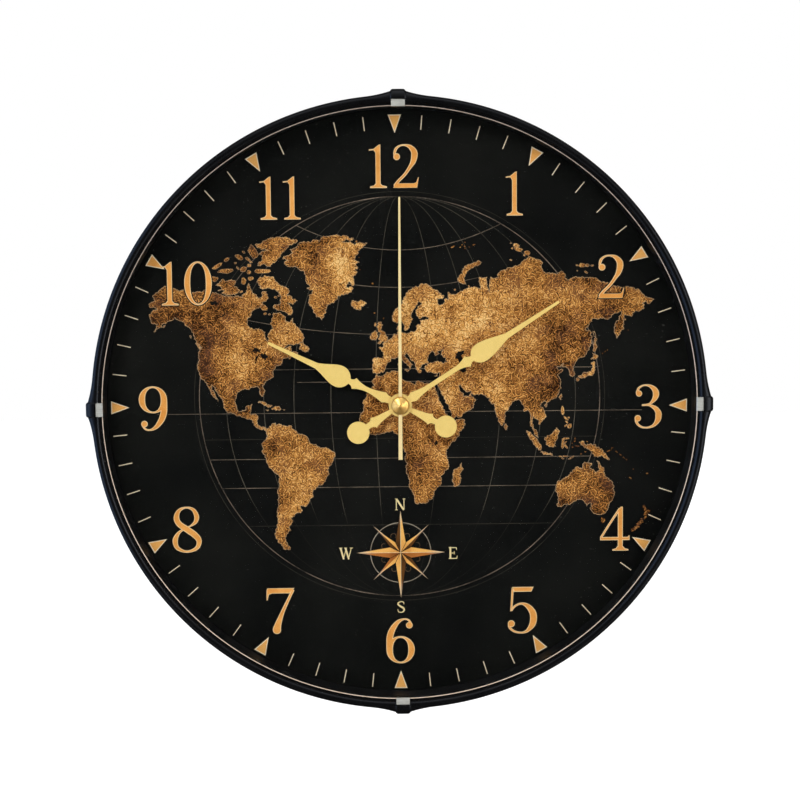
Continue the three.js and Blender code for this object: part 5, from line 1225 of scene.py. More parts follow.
HAIR, LINE_RISE = 0.13, 0.03
on_dial_face("globe_outline", lined([circle(GLOBE_R, 240, GLOBE)], 0.17, LINE_RISE), outline_ink)

# %% Meridians
MERIDIANS = (-0.867, -0.68, -0.53, -0.345, -0.12, 0.19, 0.36, 0.5, 0.707, 0.878)
NORTH_ONLY = 0.36
meridians = []
for share in MERIDIANS:
    arc = []
    for i in range(30 if share == NORTH_ONLY else 0, 61):
        t = math.pi * (i / 60 - 0.5)
        arc.append((GLOBE[0] + share * GLOBE_R * math.cos(t), GLOBE[1] + GLOBE_R * math.sin(t)))
    meridians.append(arc)
on_dial_face("meridians", lined(meridians, HAIR, LINE_RISE, closed=False), worn_ink)

# %% Parallels
PARALLELS = (  # height on the dial, bend and reach to either side
    (74.8, 0.005, 60), (56.8, 0.003, 40), (34, 0.0014, 97), (17.4, 0, 97), (11.2, 0, 50),
    (-3.8, 0, 118), (-26.3, 0, 97), (-40.4, 0, 97))
EQUATOR_BAND = 4
parallels = []
for level, bend, reach in PARALLELS:
    while abs(level) > EQUATOR_BAND and math.hypot(reach, level + bend * reach * reach - GLOBE[1]) > GLOBE_R:
        reach -= 0.5
    across = [reach * (i / 20 - 1) for i in range(41)]
    parallels.append([(x, level + bend * x ** 2) for x in across])
on_dial_face("globe_lines", lined(parallels, HAIR, LINE_RISE, closed=False), globe_ink)
halo = lined([circle(GLOBE_R + 2.4, 240, GLOBE)], 0.12, LINE_RISE)
halo += lined([[(-74.5, -59.2), (74.5, -59.2)]], 0.15, LINE_RISE, closed=False)
halo += lined([[(x, -16.5) for x in range(-95, 96, 5)]], 0.1, LINE_RISE, closed=False)
on_dial_face("globe_halo", halo, faint_ink)


# %% [markdown]
# The numerals are common bold book numerals: thick and thin strokes that end in balls and
# small feet. A text object would need a font file, so each is drawn as a few strokes with a
# width at each point. Three plates lie over one another, a dark border, a light rim and the
# gold face, as the print shows.

# %% Strokes
def smooth_path(points):
    """A smooth curve through points of any number of values, in seven steps from each to the next."""
    steps = 7
    padded = [points[0]] + list(points) + [points[-1]]
    result = []
    for i in range(1, len(padded) - 2):
        p0, p1, p2, p3 = padded[i - 1:i + 3]
        for k in range(steps):
            t = k / steps
            result.append(tuple(
                0.5 * (2 * b + (c - a) * t + (2 * a - 5 * b + 4 * c - d) * t * t
                       + (3 * b - a - 3 * c + d) * t ** 3)
                for a, b, c, d in zip(p0, p1, p2, p3)))
    return result + [tuple(points[-1])]


def stroke(points, grow, tall, wide):
    """The outline pieces of a stroke of (x, y, width), in dial millimetres, grown by a margin."""
    path = [(x * wide, y * tall, w * (tall + wide) / 4 + grow) for x, y, w in smooth_path(points)]
    loops = []
    for (x0, y0, h0), (x1, y1, h1) in zip(path, path[1:]):
        dx, dy = x1 - x0, y1 - y0
        length = math.hypot(dx, dy)
        if length < 1e-6 or min(h0, h1) <= 0:
            continue
        nx, ny = -dy / length, dx / length
        loops.append([(x0 - nx * h0, y0 - ny * h0), (x1 - nx * h1, y1 - ny * h1),
                      (x1 + nx * h1, y1 + ny * h1), (x0 + nx * h0, y0 + ny * h0)])
        loops.append(circle(h1, 10, (x1, y1)))
    return loops


# %% Grown and shrunken outlines
def grown(loop, margin):
    """A flat outline moved out by a margin, corner by corner."""
    side = 1 if area_of(loop) > 0 else -1
    result = []
    for i, (x, y) in enumerate(loop):
        before, after = Vector(loop[i - 1]), Vector(loop[(i + 1) % len(loop)])
        here = Vector((x, y))
        into, away = (here - before).normalized(), (after - here).normalized()
        n0, n1 = Vector((into.y, -into.x)) * side, Vector((away.y, -away.x)) * side
        mid = n0 + n1
        mid = mid.normalized() if mid.length > 1e-6 else n0
        reach = margin / max(mid.dot(n0), 0.45)
        result.append((x + mid.x * reach, y + mid.y * reach))
    return result


def inset(loop, margin):
    """As grown, but a negative margin shrinks until every side keeps its direction."""
    while True:
        result = grown(loop, margin)
        sides = zip(loop, loop[1:] + loop[:1], result, result[1:] + result[:1])
        if margin > -0.05 or all((b[0] - a[0]) * (d[0] - c[0]) + (b[1] - a[1]) * (d[1] - c[1]) > 0
                                 for a, b, c, d in sides):
            return result
        margin *= 0.85


# %% Numeral shapes
def oval(middle, half, width_at):
    """A closed stroke of (x, y, width), whose width follows from the angle."""
    result = []
    for k in range(25):
        t = math.tau * k / 24
        w = width_at(t)
        result.append((middle[0] + half(w)[0] * math.cos(t), middle[1] + half(w)[1] * math.sin(t), w))
    return result


RING_ZERO = oval((.3235, .5), lambda w: (.3235 - w / 2, .5 - w / 2),
                 lambda t: .055 + .1 * abs(math.cos(t)) ** 1.5)
BOWL = oval((.32, .305), lambda w: (.2415, .2775),
            lambda t: .157 * math.cos(t) ** 2 + .055 * math.sin(t) ** 2)
STEM = [(.56, .86, .06), (.50, .945, .06), (.40, .968, .055), (.27, .91, .10), (.15, .76, .145),
        (.09, .60, .16), (.08, .46, .16), (.0785, .305, .157)]
NUMERALS = {  # width, strokes, balls and flat outlines of a digit one unit tall
    "0": (.647, [RING_ZERO], [], []),
    "1": (.425, [], [], [
        [(0, .885), (.013, .838), (.115, .851), (.154, .795), (.154, .02), (.284, .02), (.284, 1),
         (.23, .987), (.115, .897)],
        [(.026, 0), (.425, 0), (.425, .052), (.32, .077), (.284, .115), (.15, .115), (.12, .077),
         (.026, .052)]]),
    "2": (.61, [
        [(.045, .76, .07), (.08, .88, .08), (.17, .953, .06), (.283, .968, .06), (.40, .93, .11),
         (.487, .83, .155), (.50, .735, .164), (.47, .60, .14), (.40, .48, .10), (.28, .31, .085),
         (.14, .17, .085), (.06, .07, .09)]], [(.098, .709, .085)], [
        [(0, 0), (.564, 0), (.609, .266), (.572, .247), (.532, .141), (.484, .12), (.112, .12), (.05, .1)]]),
    "3": (.62, [
        [(.06, .80, .07), (.10, .90, .065), (.18, .955, .055), (.26, .968, .055), (.37, .94, .09),
         (.46, .86, .14), (.487, .764, .155), (.45, .66, .12), (.36, .565, .065), (.27, .537, .055),
         (.19, .53, .056)],
        [(.19, .525, .056), (.27, .53, .056), (.36, .52, .07), (.48, .45, .12), (.54, .36, .15),
         (.544, .303, .155), (.53, .20, .14), (.45, .09, .09), (.36, .045, .065), (.27, .03, .055),
         (.17, .045, .06), (.09, .10, .07), (.04, .18, .07)]],
        [(.108, .785, .077), (.082, .238, .08)], []),
    "4": (.66, [[(.44, .955, .07), (.22, .62, .065), (.03, .31, .065)]], [], [
        [(.385, .03), (.51, .03), (.51, 1), (.45, 1), (.385, .9)],
        [(0, .235), (.66, .235), (.66, .36), (.62, .35), (.60, .325), (0, .325)],
        [(.265, 0), (.636, 0), (.636, .045), (.55, .07), (.51, .12), (.385, .12), (.345, .07),
         (.265, .045)]]),
    "5": (.624, [
        [(.085, .49, .055), (.16, .585, .06), (.29, .635, .06), (.42, .585, .11), (.52, .46, .15),
         (.545, .34, .158), (.52, .20, .145), (.43, .08, .09), (.36, .04, .065), (.285, .028, .055),
         (.16, .05, .06), (.07, .11, .065), (.03, .17, .06)]], [(.081, .217, .081)], [
        [(.086, .99), (.13, .874), (.505, .874), (.56, .99)],
        [(.086, .99), (.06, .60), (.05, .47), (.085, .467), (.115, .55), (.14, .90)]]),
    "6": (.638, [STEM, BOWL], [(.516, .835, .081)], []),
    "7": (.656, [[(.61, .955, .08), (.50, .74, .08), (.37, .47, .10), (.28, .24, .15), (.245, .12, .19)]],
          [(.245, .097, .097)], [
        [(.04, 1), (.025, .95), (.02, .72), (.06, .73), (.09, .85), (.16, .873), (.54, .873), (.656, 1)]]),
    "8": (.657, [
        [(.41, .578, .05), (.521, .665, .10), (.546, .789, .12), (.471, .926, .09), (.328, .970, .056),
         (.174, .913, .09), (.107, .764, .136), (.161, .628, .14), (.335, .504, .15), (.509, .380, .15),
         (.591, .256, .13), (.533, .107, .10), (.328, .035, .066), (.124, .107, .10), (.069, .268, .13),
         (.136, .417, .09), (.248, .504, .06), (.41, .578, .05)]], [], []),
}
WIDTH_NINE = NUMERALS["6"][0]
NINE = [[(WIDTH_NINE - x, 1 - y, w) for x, y, w in part] for part in (STEM, BOWL)]
NUMERALS["9"] = (WIDTH_NINE, NINE, [(.122, .165, .081)], [])
print("numerals", sorted(NUMERALS))

# %% Numeral plates
HOURS = {  # middle across and up, width and height
    "12": (-2.0, 114.9, 24.5, 21.2), "1": (55.8, 101.4, 8.7, 21.5), "2": (102.8, 61.2, 13.3, 21.4),
    "3": (121.0, -2.2, 13.6, 22.2), "4": (105.0, -62.4, 14.9, 22.2), "5": (59.4, -102.4, 14.8, 24.0),
    "6": (-0.8, -117.05, 14.3, 23.1), "7": (-59.7, -101.5, 14.8, 23.3), "8": (-104.8, -60.5, 14.7, 23.3),
    "9": (-119.9, -0.9, 14.1, 22.2), "10": (-102.7, 59.6, 25.2, 21.5), "11": (-56.9, 100.1, 20.2, 21.0),
}
numeral_gold = printed("numeral_gold", srgb(222, 145, 66), srgb(246, 175, 94), 120, 0.2)
numeral_rim = printed("numeral_rim", srgb(232, 191, 136), srgb(252, 221, 174), 240)
# The wedges take the numerals' gold, painted brighter: painted light against the bezel's shade near the rim.
wedge_gold_painted_light = printed("wedge_gold_painted_light", srgb(238, 162, 80), srgb(254, 192, 110), 120, 0.2)
border_ink = printed("border_ink", srgb(9, 8, 7), srgb(20, 17, 14), 120)


DIGIT_GAP = 0.12


def hour_outlines(text, x, z, width, height, margin):
    """The outlines of a numeral of that width and height with its middle at x and z."""
    parts = [NUMERALS[digit] for digit in text]
    wide = width / (sum(p[0] for p in parts) + DIGIT_GAP * (len(parts) - 1))
    left = x - width / 2
    loops = []
    for unit, strokes, balls, polys in parts:
        for points in strokes:
            loops += [[(left + a, z - height / 2 + b) for a, b in loop]
                      for loop in stroke(points, margin, height, wide)]
        for a, b, r in balls:
            middle = (left + a * wide, z + (b - 0.5) * height)
            loops.append(circle(r * (height + wide) / 2 + margin, 24, middle))
        for poly in polys:
            loops.append(inset([(left + a * wide, z + (b - 0.5) * height) for a, b in poly], margin))
        left += (unit + DIGIT_GAP) * wide
    return loops


for label, margin, rise, finish in (("border", 0.3, 0.12, border_ink), ("rim", -0.2, 0.15, numeral_rim),
                                    ("face", -0.54, 0.18, numeral_gold)):
    parts = [plate(hour_outlines(text, *where, margin), INK_ROOT, DIAL_FRONT + rise)
             for text, where in HOURS.items()]
    on_dial_face("numeral_" + label, parts, finish)

# %% [markdown]
# The chapter ring has a wedge at each hour, pointing inwards, and a short bar at each
# minute between. An array round the axis would be quick, but the printed circle stands a
# little low on the real dial and is uneven, so it has its own centre and bearings here.

# %% Chapter ring
PRINT = (-0.09, -0.75)
WEDGES = (-0.6, 28.65, 58.25, 90.4, 120.1, 150.5, 180.25, 210.0, 240.7, 270.2, 300.8, 329.8, 359.4)
DRIFT = (
    (-0.46, -0.57), (-0.75, -0.35), (-0.43, -0.62), (-0.3, 0.1), (-0.15, -0.2), (0.15, -0.05),
    (-0.16, -0.43), (0.28, -0.04), (-0.1, 0.19), (0.55, 0.2), (0.2, 0.25), (0.12, -0.31))
BAR_FOOT, BAR_TOP, BAR_HALF, BAR_RISE = 133.3, 140.0, 0.22, 0.05
WEDGE_FOOT, WEDGE_TOP, WEDGE_HALF = 131.3, 140.1, 3.2
# A pale ink for the ticks and the wedge rims, painted brighter still: painted light against the bezel's shade
# near the rim.
tick_ink_painted_light = printed("tick_ink_painted_light", srgb(244, 218, 182), srgb(255, 240, 212), 200)


def polar(radius, bearing, across=0.0):
    """A place on the printed circle: bearing clockwise from 12, and so far to its right."""
    a = math.radians(bearing)
    return (PRINT[0] + radius * math.sin(a) + across * math.cos(a),
            PRINT[1] + radius * math.cos(a) - across * math.sin(a))


bars, wedges = [], []
for minute in range(60):
    hour, step = divmod(minute, 5)
    bearing = WEDGES[hour] + (WEDGES[hour + 1] - WEDGES[hour]) * step / 5
    if step:
        first, last = DRIFT[hour]
        bearing += first + (last - first) * (step - 1) / 3
        bars.append([polar(BAR_FOOT, bearing, -BAR_HALF), polar(BAR_FOOT, bearing, BAR_HALF),
                     polar(BAR_TOP, bearing, BAR_HALF), polar(BAR_TOP, bearing, -BAR_HALF)])
    else:
        wedges.append([polar(WEDGE_FOOT, bearing), polar(WEDGE_TOP, bearing, WEDGE_HALF),
                       polar(WEDGE_TOP, bearing, -WEDGE_HALF)])
on_dial_face("minute_bars", inked(bars, BAR_RISE), tick_ink_painted_light)
for label, margin, rise, finish in (("border", 0.35, 0.1, border_ink), ("rim", 0.0, 0.13, tick_ink_painted_light),
                                    ("face", -0.48, 0.16, wedge_gold_painted_light)):
    on_dial_face("wedge_" + label, inked([grown(wedge, margin) for wedge in wedges], rise), finish)

# %% [markdown]
# A traditional compass rose of eight points stands below the middle. Each point is a kite
# in two halves, a light and a dark one, which makes it look folded, and the four long ones
# carry a pale ridge. A thin hoop, small curls and four letters stand round it. All are
# plates and ribbons again, because a painted texture would be soft at the sharp tips.

# %% Compass rose
ROSE = (-0.3, -73.0)


def rose_ink(name, deep, pale, tip, start, end):
    """Printing ink that runs from a deep middle over a pale shoulder to a greyish tip, from start to end."""
    material, tree, shader = blank(name, specular=0.08)
    way = from_spot(tree, *ROSE)
    near = span(tree, way, 0.002, 0.009, smooth=True)
    far = span(tree, way, start, end, smooth=True)
    inner = place_group(tree, cloud, Deep=deep, Pale=pale, Scale=260.0, Speck_Share=0.3)
    outer = blend(tree, near, inner.outputs["Color"], pale)
    feed(blend(tree, far, outer, tip), shader, "Base Color")
    grained(tree, shader, 1600.0, 0.5, 0.65, 0.1)
    return material


ROSE_TONES = {
    "light": (srgb(202, 131, 58), srgb(240, 180, 98), srgb(226, 196, 160)),
    "brown": (srgb(114, 62, 24), srgb(180, 108, 49), srgb(164, 138, 118)),
    "dark": (srgb(38, 22, 8), srgb(96, 60, 27), srgb(140, 116, 98)),
}
ROSE_INKS = {("long", "ridge"): printed("rose_ridge", srgb(214, 176, 128), srgb(246, 220, 176), 260)}
for size, ends in (("long", (0.0125, 0.02)), ("short", (0.009, 0.0155))):
    ROSE_INKS[size, "border"] = border_ink
    for ink, tones in ROSE_TONES.items():
        ROSE_INKS[size, ink] = rose_ink(f"rose_{size}_{ink}", *tones, *ends)
rose = {}


# %% Points of the rose
RIDGE_HALF, RIDGE_SHORT, FLANK_AT = 0.14, 1.5, 0.62
FLANK_SHARE = {"short": 0.3, "long": 0.48}


def keep(size, ink, loop, margin=0.0):
    """An outline round the middle of the rose, kept with the others of its size and ink."""
    placed = [tuple(Vector(ROSE) + v) for v in loop]
    rose.setdefault((size, ink), []).append(grown(placed, margin) if margin else placed)


def rose_point(size, bearing, length, half, waist, right_ink, left_ink):
    a = math.radians(bearing)
    along, across = Vector((math.sin(a), math.cos(a))), Vector((math.cos(a), -math.sin(a)))
    tip, ridge, middle = along * length, across * RIDGE_HALF, Vector((0, 0))
    flank = along * length * FLANK_AT + across * half * FLANK_SHARE[size]
    mirrored = along * length * FLANK_AT * 2 - flank
    right, left = along * waist + across * half, along * waist - across * half
    keep(size, right_ink, (middle, right, flank, tip))
    keep(size, left_ink, (middle, tip, mirrored, left))
    keep(size, "border", (middle, right, flank, tip, mirrored, left), 0.25)
    if size == "long":
        end = along * (length - RIDGE_SHORT)
        keep(size, "ridge", (middle - ridge, middle + ridge, end + ridge, end - ridge))


for bearing, length, inks in ((45, 19.2, ("dark", "light")), (135, 18.9, ("light", "dark")),
                              (225, 19.2, ("brown", "light")), (315, 19.0, ("light", "dark"))):
    rose_point("short", bearing, length, 1.75, 4.8, *inks)
rose_point("long", 0, 20.7, 2.45, 5.0, "light", "dark")
rose_point("long", 90, 21.7, 2.6, 5.2, "brown", "light")
rose_point("long", 180, 22.5, 2.45, 5.0, "light", "dark")
rose_point("long", 270, 21.5, 2.6, 5.2, "light", "brown")
RISES = {"short": 0.12, "long": 0.18, "border": 0.0, "light": 0.03, "brown": 0.03, "dark": 0.03,
         "ridge": 0.05}
for (size, ink), loops in rose.items():
    on_dial_face(f"rose_{size}_{ink}", inked(loops, RISES[size] + RISES[ink]), ROSE_INKS[size, ink])

# %% Hoop and curls
hoop_ink = printed("hoop_ink", srgb(122, 110, 96), srgb(186, 174, 156), 160)
curl_ink = printed("curl_ink", srgb(46, 35, 25), srgb(112, 88, 64), 200)
HOOP_RISE, CURL_OUT, CURL_R = 0.1, 8.8, 1.3
on_dial_face("rose_hoop", lined([circle(14.8, 120, ROSE)], 0.19, HOOP_RISE), hoop_ink)
curls = []
for k in range(8):
    a = math.radians(22.5 + 45 * k)
    spin = a + (0.6 if k % 2 else -0.6)
    middle = (ROSE[0] + CURL_OUT * math.sin(a), ROSE[1] + CURL_OUT * math.cos(a))
    curl = []
    for i in range(-8, 9):
        reach, t = CURL_R - 0.03 * i, spin + 0.28 * i
        curl.append((middle[0] + reach * math.sin(t), middle[1] + reach * math.cos(t)))
    curls.append(curl)
on_dial_face("rose_curls", lined(curls, 0.16, HOOP_RISE, closed=False), curl_ink)

# %% Letters of the four directions
LETTERS = {  # strokes of (x, y, width)
    "N": [[(.06, .03, .07), (.06, .97, .07)], [(.1, .95, .15), (.72, .06, .15)],
          [(.78, .03, .07), (.78, .97, .07)], [(-.05, .97, .05), (.16, .97, .05)],
          [(-.05, .03, .05), (.17, .03, .05)], [(.66, .97, .05), (.9, .97, .05)]],
    "E": [[(.14, .03, .15), (.14, .97, .15)], [(0, .97, .06), (.66, .97, .06)],
          [(.14, .5, .06), (.48, .5, .06)], [(0, .03, .06), (.7, .03, .06)],
          [(.66, .97, .06), (.68, .78, .04)], [(.7, .03, .06), (.74, .25, .04)],
          [(.48, .38, .05), (.48, .62, .05)]],
    "S": [[(.58, .74, .05), (.56, .9, .06), (.36, .97, .07), (.12, .88, .1), (.08, .72, .13),
           (.3, .55, .15), (.54, .4, .15), (.6, .24, .13), (.5, .08, .09), (.28, .03, .06), (.1, .1, .06),
           (.05, .28, .05)]],
    "W": [[(.06, .97, .14), (.32, .05, .14)], [(.32, .05, .06), (.55, .9, .06)],
          [(.5, .95, .14), (.76, .05, .14)], [(.76, .05, .06), (1.0, .96, .06)],
          [(-.06, .97, .05), (.2, .97, .05)], [(.38, .97, .05), (.6, .97, .05)],
          [(.88, .97, .05), (1.12, .97, .05)]],
}
LETTER_TALL, LETTER_FOOT, LETTER_RISE = 5.7, 2.9, 0.14
letters = []
for name, x, z, half, wide in (("N", -0.4, -49.1, .42, 5.2), ("W", -27.2, -73.1, .53, 5.6),
                               ("E", 25.3, -73.5, .36, 5.6), ("S", -0.4, -100.1, .33, 5.6)):
    loops = []
    for points in LETTERS[name]:
        loops += [[(x + a - half * wide, z + b - LETTER_FOOT) for a, b in loop]
                  for loop in stroke(points, 0.02, LETTER_TALL, wide)]
    letters.append(plate(loops, INK_ROOT, DIAL_FRONT + LETTER_RISE))
letter_ink = printed("letter_ink", srgb(222, 196, 136), srgb(250, 232, 184), 260)
on_dial_face("rose_letters", letters, letter_ink)

# %% [markdown]
# The hour and minute hands are stamped from thin sheet: a spade with a long ogee tip, a
# collar, and a disc on the tail. The outline is half a path, mirrored, with the hub and the
# disc merged into it and the bore left open. A small bevel rounds the stamped edge.

# %% Hand outlines
hand_gold = sheet_metal(
    "hand_gold", srgb(244, 208, 118), srgb(249, 215, 128), (500, 500, 500), 0.4, 0.52, 0.1, 0.05)
needle_gold = sheet_metal(
    "needle_gold", srgb(250, 221, 156), srgb(255, 231, 174), (600, 600, 90), 0.38, 0.5, 0.1, 0.05)
HUB, TAIL_ROOT = 5.6, 5.8


def curve(*points, steps=10):
    """A Bezier curve of any order through its control points, without its first point."""
    result = []
    for k in range(1, steps + 1):
        row, t = list(points), k / steps
        while len(row) > 1:
            row = [((1 - t) * a[0] + t * b[0], (1 - t) * a[1] + t * b[1]) for a, b in zip(row, row[1:])]
        result.append(row[0])
    return result


def spade(h):
    """The outline of a hand that points up: one half from the tail to the tip, then its mirror image."""
    shaft = h["shaft"]
    tail_at, tail_half = h["tail_collar"]
    neck_at, neck_half = h["tail_neck"]
    shoulder, shoulder_half = h["shoulder"]
    collar, collar_half = h["collar"]
    neck, throat = h["neck"]
    bulge, bulge_half = h["bulge"]
    ogee, ogee_half = h["ogee"]
    half = [(neck_half, -h["disc"][0]), (neck_half, -neck_at)]
    half += curve(half[-1], (neck_half, -tail_at - 0.5), (tail_half, -tail_at))
    half += curve(half[-1], (shaft + 0.6, -tail_at + 1.2), (shaft, -TAIL_ROOT))
    half += [(shaft, 0), (shoulder_half * 0.7, shoulder - 1.5), (shoulder_half, shoulder)]
    half += curve(half[-1], (shaft + 0.5, shoulder + 3), (shaft, shoulder + 8))
    half += [(shaft, collar - 6)]
    half += curve(half[-1], (shaft + 0.5, collar - 2.2), (collar_half, collar))
    half += curve(half[-1], (throat, collar + 0.6), (throat, neck))
    half += curve(half[-1], (throat + 1.2, neck + 0.4), (bulge_half, bulge - 3.4), (bulge_half, bulge))
    half += curve(half[-1], (bulge_half, bulge + 3.8), (ogee_half + 1.3, ogee - 5), (ogee_half, ogee),
                  steps=16)
    half += [(h["tip"], h["length"] - h["tip"]), (h["tip"] * 0.5, h["length"] - 0.1), (0, h["length"])]
    return half + [(-x, z) for x, z in reversed(half[:-1])]


def swung(loop, bearing):
    """An outline that points up, turned clockwise to a bearing."""
    a = math.radians(bearing)
    return [(x * math.cos(a) + z * math.sin(a), -x * math.sin(a) + z * math.cos(a)) for x, z in loop]


# %% Hour and minute hands
# A pair is a distance from the axis and a half width there; the disc has its middle and its radius.
HOUR = {"length": 70.7, "shoulder": (8.75, 2.7), "shaft": 1.17, "collar": (24.7, 2.9), "neck": (27.15, 1.32),
        "bulge": (32.7, 5.3), "ogee": (44.7, 1.47), "tip": 0.61, "tail_collar": (16.15, 2.95),
        "tail_neck": (18.3, 1.4), "disc": (24.5, 5.35)}
MINUTE = {"length": 91.4, "shoulder": (7.6, 2.5), "shaft": 1.12, "collar": (38.95, 3.0), "neck": (41.6, 1.42),
          "bulge": (47.05, 4.7), "ogee": (61.4, 1.37), "tip": 0.61, "tail_collar": (15.4, 2.95),
          "tail_neck": (17.75, 1.4), "disc": (24.25, 5.4)}


def bore_of(node):
    """The radius of the hole at the hands' axis in a solid of the frame."""
    return min(math.hypot(v.co.x, v.co.z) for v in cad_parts[node].data.vertices) / MM


for name, h, bearing, rear_at, front_at in (("hour", HOUR, 295.8, 25.9, 26.5),
                                            ("minute", MINUTE, 57.3, 27.4, 28.0)):
    outlines = [spade(h), circle(HUB, 64), circle(h["disc"][1], 56, (0, -h["disc"][0]))]
    blade = plate([swung(o, bearing) for o in outlines], rear_at, front_at,
                  holes=[circle(bore_of(name + "_hand"), 40)])
    piece(name + "_spade", [blade], hand_gold, body=name + "_hand_body", slot="hand_gold",
          stands_for=(name + "_hand",), edge=0.12)

# %% [markdown]
# The second hand is a plain tapering needle with a small boss, stamped like the others. The
# brass cap is turned on a lathe, and so is its mesh: a short foot, a bevel and a low cone
# with a tiny dark centre mark.

# %% Second hand and cap
NEEDLE_REAR, NEEDLE_FRONT, BOSS = 28.9, 29.4, 2.6
flank = [(0.98, -26.3), (0.84, 0), (0.44, 99.5), (0.25, 99.9)]
needle = flank + [(0, 100.0)] + [(-x, z) for x, z in reversed(flank)]
blade = plate([swung(needle, 0.2), circle(BOSS, 48)], NEEDLE_REAR, NEEDLE_FRONT,
              holes=[circle(bore_of("second_hand"), 32)])
piece("second_needle", [blade], needle_gold, body="second_hand_body", slot="hand_gold",
      stands_for=("second_hand",), edge=0.1)
CONE_FOOT, CONE_TOP = (3.95, 30.48), (0.5, 32.05)
cone = [(0, 29.7), (4.1, 29.7), (4.3, 29.85), (4.3, 30.1), (4.2, 30.3)]
for k in range(9):
    cone.append(tuple(a + (b - a) * k / 8 for a, b in zip(CONE_FOOT, CONE_TOP)))
cone += [(0.44, 32.03), (0.4, 31.9), (0.36, 31.1), (0, 31.0)]
piece("cap_cone", [turn(cone, 96)], cap_brass, body="second_hand_body", slot="cap_brass",
      stands_for=("second_cap",))


# %% [markdown]
# The back case is a moulding: a cup with a floor, ribs behind it, a frame round the movement
# and a raised box with the keyhole. It isn't seen in the photograph, but the part is turned
# round in use, so its walls and ribs have the small rounded rims of a moulding. One turned
# profile, plates and eight ribs give it; a Boolean of solids would leave ragged faces.

# %% Back case
FLOOR_REAR, FLOOR_FRONT, CASE_INNER, CASE_OUTER, CASE_FRONT = 19.6, 21.4, 142.2, 144.0, 33.2
RIB_REAR, RIB_ROOT, RIB_THICK, HOOP_R = 13.6, 20.5, 1.6, 92.0


def rounded(left, right, low, high, corner, steps=8):
    """A rectangle with round corners."""
    loop = []
    for cx, cz, start in ((right - corner, high - corner, 0), (left + corner, high - corner, 90),
                          (left + corner, low + corner, 180), (right - corner, low + corner, 270)):
        for k in range(steps + 1):
            t = math.radians(start + 90 * k / steps)
            loop.append((cx + corner * math.cos(t), cz + corner * math.sin(t)))
    return loop


def rib(inner, outer, bearing):
    """A radial wall with a rounded rear edge."""
    c, s = math.cos(math.radians(bearing)), math.sin(math.radians(bearing))
    half = RIB_THICK / 2
    section = [(-half, RIB_ROOT), (-half, RIB_REAR + 0.5), (-half + 0.25, RIB_REAR + 0.12), (0, RIB_REAR),
               (half - 0.25, RIB_REAR + 0.12), (half, RIB_REAR + 0.5), (half, RIB_ROOT)]
    ends = [[(radius * c - w * s, forward(depth), radius * s + w * c) for w, depth in section]
            for radius in (inner, outer)]
    count = len(section)
    faces = [[j, (j + 1) % count, count + (j + 1) % count, count + j] for j in range(count)]
    return ends[0] + ends[1], faces + [list(range(count)), list(range(2 * count - 1, count - 1, -1))]


FILLET, RIM_EDGE, TIP_EDGE = 0.8, 0.4, 0.2
cup = [(DIAL_HOLE, FLOOR_REAR), (CASE_INNER - FILLET, FLOOR_REAR), (CASE_INNER, FLOOR_REAR - FILLET),
       (CASE_INNER, RIM_EDGE), (CASE_INNER + RIM_EDGE, 0.0), (CASE_OUTER - RIM_EDGE, 0.0),
       (CASE_OUTER, RIM_EDGE), (CASE_OUTER, CASE_FRONT - TIP_EDGE), (CASE_OUTER - TIP_EDGE, CASE_FRONT),
       (CASE_INNER + TIP_EDGE, CASE_FRONT), (CASE_INNER, CASE_FRONT - TIP_EDGE),
       (CASE_INNER, FLOOR_FRONT + FILLET), (CASE_INNER - FILLET, FLOOR_FRONT), (DIAL_HOLE, FLOOR_FRONT)]
hoop_rib = [(-0.8, RIB_ROOT), (-0.8, 13.9), (-0.55, 13.7), (0.55, 13.7), (0.8, 13.9), (0.8, RIB_ROOT)]
hoop_rib = [(HOOP_R + out, depth) for out, depth in hoop_rib]
ribs = [rib(HOOP_R, 143.1, 22.5 + 45 * k) for k in range(8)]

# %% Movement frame and hanger
ROOM, CORNER = 0.3, 3.0
HANGER = (-12, 12, 33, 61)
HANGER_REAR, HANGER_INSIDE = 1.2, 3.4
low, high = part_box("movement_housing")
left, right = low.x / MM - ROOM, high.x / MM + ROOM
down, up = low.z / MM - ROOM, high.z / MM + ROOM
wall_round = plate([rounded(left - RIB_THICK, right + RIB_THICK, down - RIB_THICK, up + RIB_THICK,
                            CORNER + RIB_THICK)], RIB_REAR, RIB_ROOT,
                   holes=[rounded(left, right, down, up, CORNER)])
keyhole = circle(4.5, 48, (0.0, 42.5))
slot_loop = rounded(-2.3, 2.3, 42.0, 53.8, 2.29)
hanger_room = rounded(-10.4, 10.4, 34.6, 59.4, 1.5)
hanger = [plate([rounded(*HANGER, CORNER)], HANGER_REAR, HANGER_INSIDE, holes=[keyhole, slot_loop]),
          plate([rounded(*HANGER, CORNER)], HANGER_INSIDE, RIB_ROOT, holes=[hanger_room])]
piece("case_shell", [turn(cup, 192), turn(hoop_rib, 128), wall_round] + ribs + hanger, case_black,
      slot="case_black", stands_for=("back_case",), sharp=40)

# %% [markdown]
# The battery is a plain sleeved cell: a metal can, a printed sleeve in two colours with a
# rolled edge at each end, and a bright positive button. The setting knob is fluted, and its
# face carries two curved marks. Both are turned or cut anew with finer edges than the solids.

# %% Cell
def lying(profile, tail, depth, height, segments=64):
    """A turned body whose axis runs along x: profile of (radius, along)."""
    verts, faces = [], []
    for radius, along in profile:
        for k in range(segments):
            t = math.tau * k / segments
            verts.append((tail + along, depth + radius * math.cos(t), height + radius * math.sin(t)))
    for i in range(len(profile) - 1):
        for k in range(segments):
            n = (k + 1) % segments
            faces.append([i * segments + k, i * segments + n, (i + 1) * segments + n, (i + 1) * segments + k])
    end = (len(profile) - 1) * segments
    faces += [list(range(segments)), list(range(end + segments - 1, end - 1, -1))]
    return verts, faces


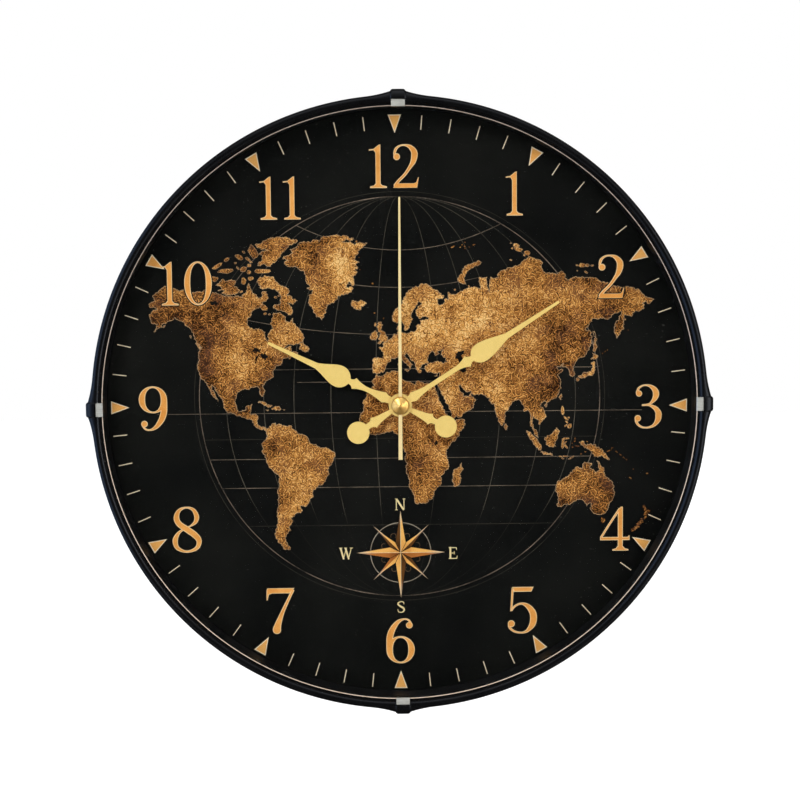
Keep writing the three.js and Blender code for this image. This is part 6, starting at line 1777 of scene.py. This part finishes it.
low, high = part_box("cell")
tail, long = low.x / MM, (high.x - low.x) / MM
axis_y, axis_z, radius = (low.y + high.y) / 2 / MM, (low.z + high.z) / 2 / MM, (high.z - low.z) / 2 / MM
sleeve_wrap, tree, shader = blank("sleeve_wrap", coat=0.3, coat_rough=0.12)
copper_end = span(tree, along_axis(tree, "X"), (tail + long * 0.68) * MM, (tail + long * 0.685) * MM)
dark_end = place_group(tree, cloud, Deep=srgb(24, 24, 26), Pale=srgb(38, 38, 41), Scale=120.0)
warm_end = place_group(tree, cloud, Deep=srgb(166, 104, 54), Pale=srgb(204, 140, 84), Scale=160.0)
wrap = blend(tree, copper_end, dark_end.outputs["Color"], warm_end.outputs["Color"])
feed(wrap, shader, "Base Color")
grained(tree, shader, 900.0, 0.24, 0.36, 0.08, 0.00003)
can = [(1.4, 0.3), (1.0, 0.0), (0.35, 0.0), (0.1, 0.15), (0, 0.5), (0, long - 2.0), (0.1, long - 1.65),
       (0.35, long - 1.5), (1.2, long - 1.5), (1.4, long - 1.7)]
can = [(radius - inwards, along) for inwards, along in can]
button = [(5.2, 2.4), (5.2, 1.6), (3.4, 1.5), (2.75, 1.3), (2.6, 0.3), (2.3, 0.0)]
button = [(r, long - back) for r, back in button]
piece("cell_sleeve", [lying(can, tail, axis_y, axis_z)], sleeve_wrap, body="cell_body", slot="cell_sleeve",
      stands_for=("cell",), sharp=50)
piece("cell_button", [lying(button, tail, axis_y, axis_z, 48)], contact_nickel, body="cell_body",
      slot="contact_nickel", sharp=50)

# %% Setting knob
low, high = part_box("setting_knob")
knob_at = ((low.x + high.x) / 2 / MM, (low.z + high.z) / 2 / MM)
knob_rear, knob_front = WALL - high.y / MM, WALL - low.y / MM
KNOB_R, FLUTE_DEPTH, FLUTES, FLUTE_STEPS = 4.6, 0.35, 12, 14
MARK_R, MARK_HALF, MARK_RISE = 3.1, 0.28, 0.25


def round_knob(radius, t):
    return knob_at[0] + radius * math.cos(t), knob_at[1] + radius * math.sin(t)


fluted = []
for k in range(FLUTES * FLUTE_STEPS):
    t = math.tau * k / (FLUTES * FLUTE_STEPS)
    fluted.append(round_knob(KNOB_R - FLUTE_DEPTH * (0.5 + 0.5 * math.cos(FLUTES * t)) ** 1.6, t))
face_rear = knob_rear + MARK_RISE
body_part = plate([fluted], face_rear, knob_front, holes=[circle(1.5, 32, knob_at)])
raised = []
for side in (0, 180):
    mark = [round_knob(MARK_R, math.radians(side + 20 + 90 * k / 12)) for k in range(13)]
    raised.append(ribbon(mark, MARK_HALF, knob_rear, face_rear + 0.1, closed=False))
piece("knob_fluted", [body_part] + raised, gear_white, body="knob_body", slot="gear_white",
      stands_for=("setting_knob",), edge=0.12)
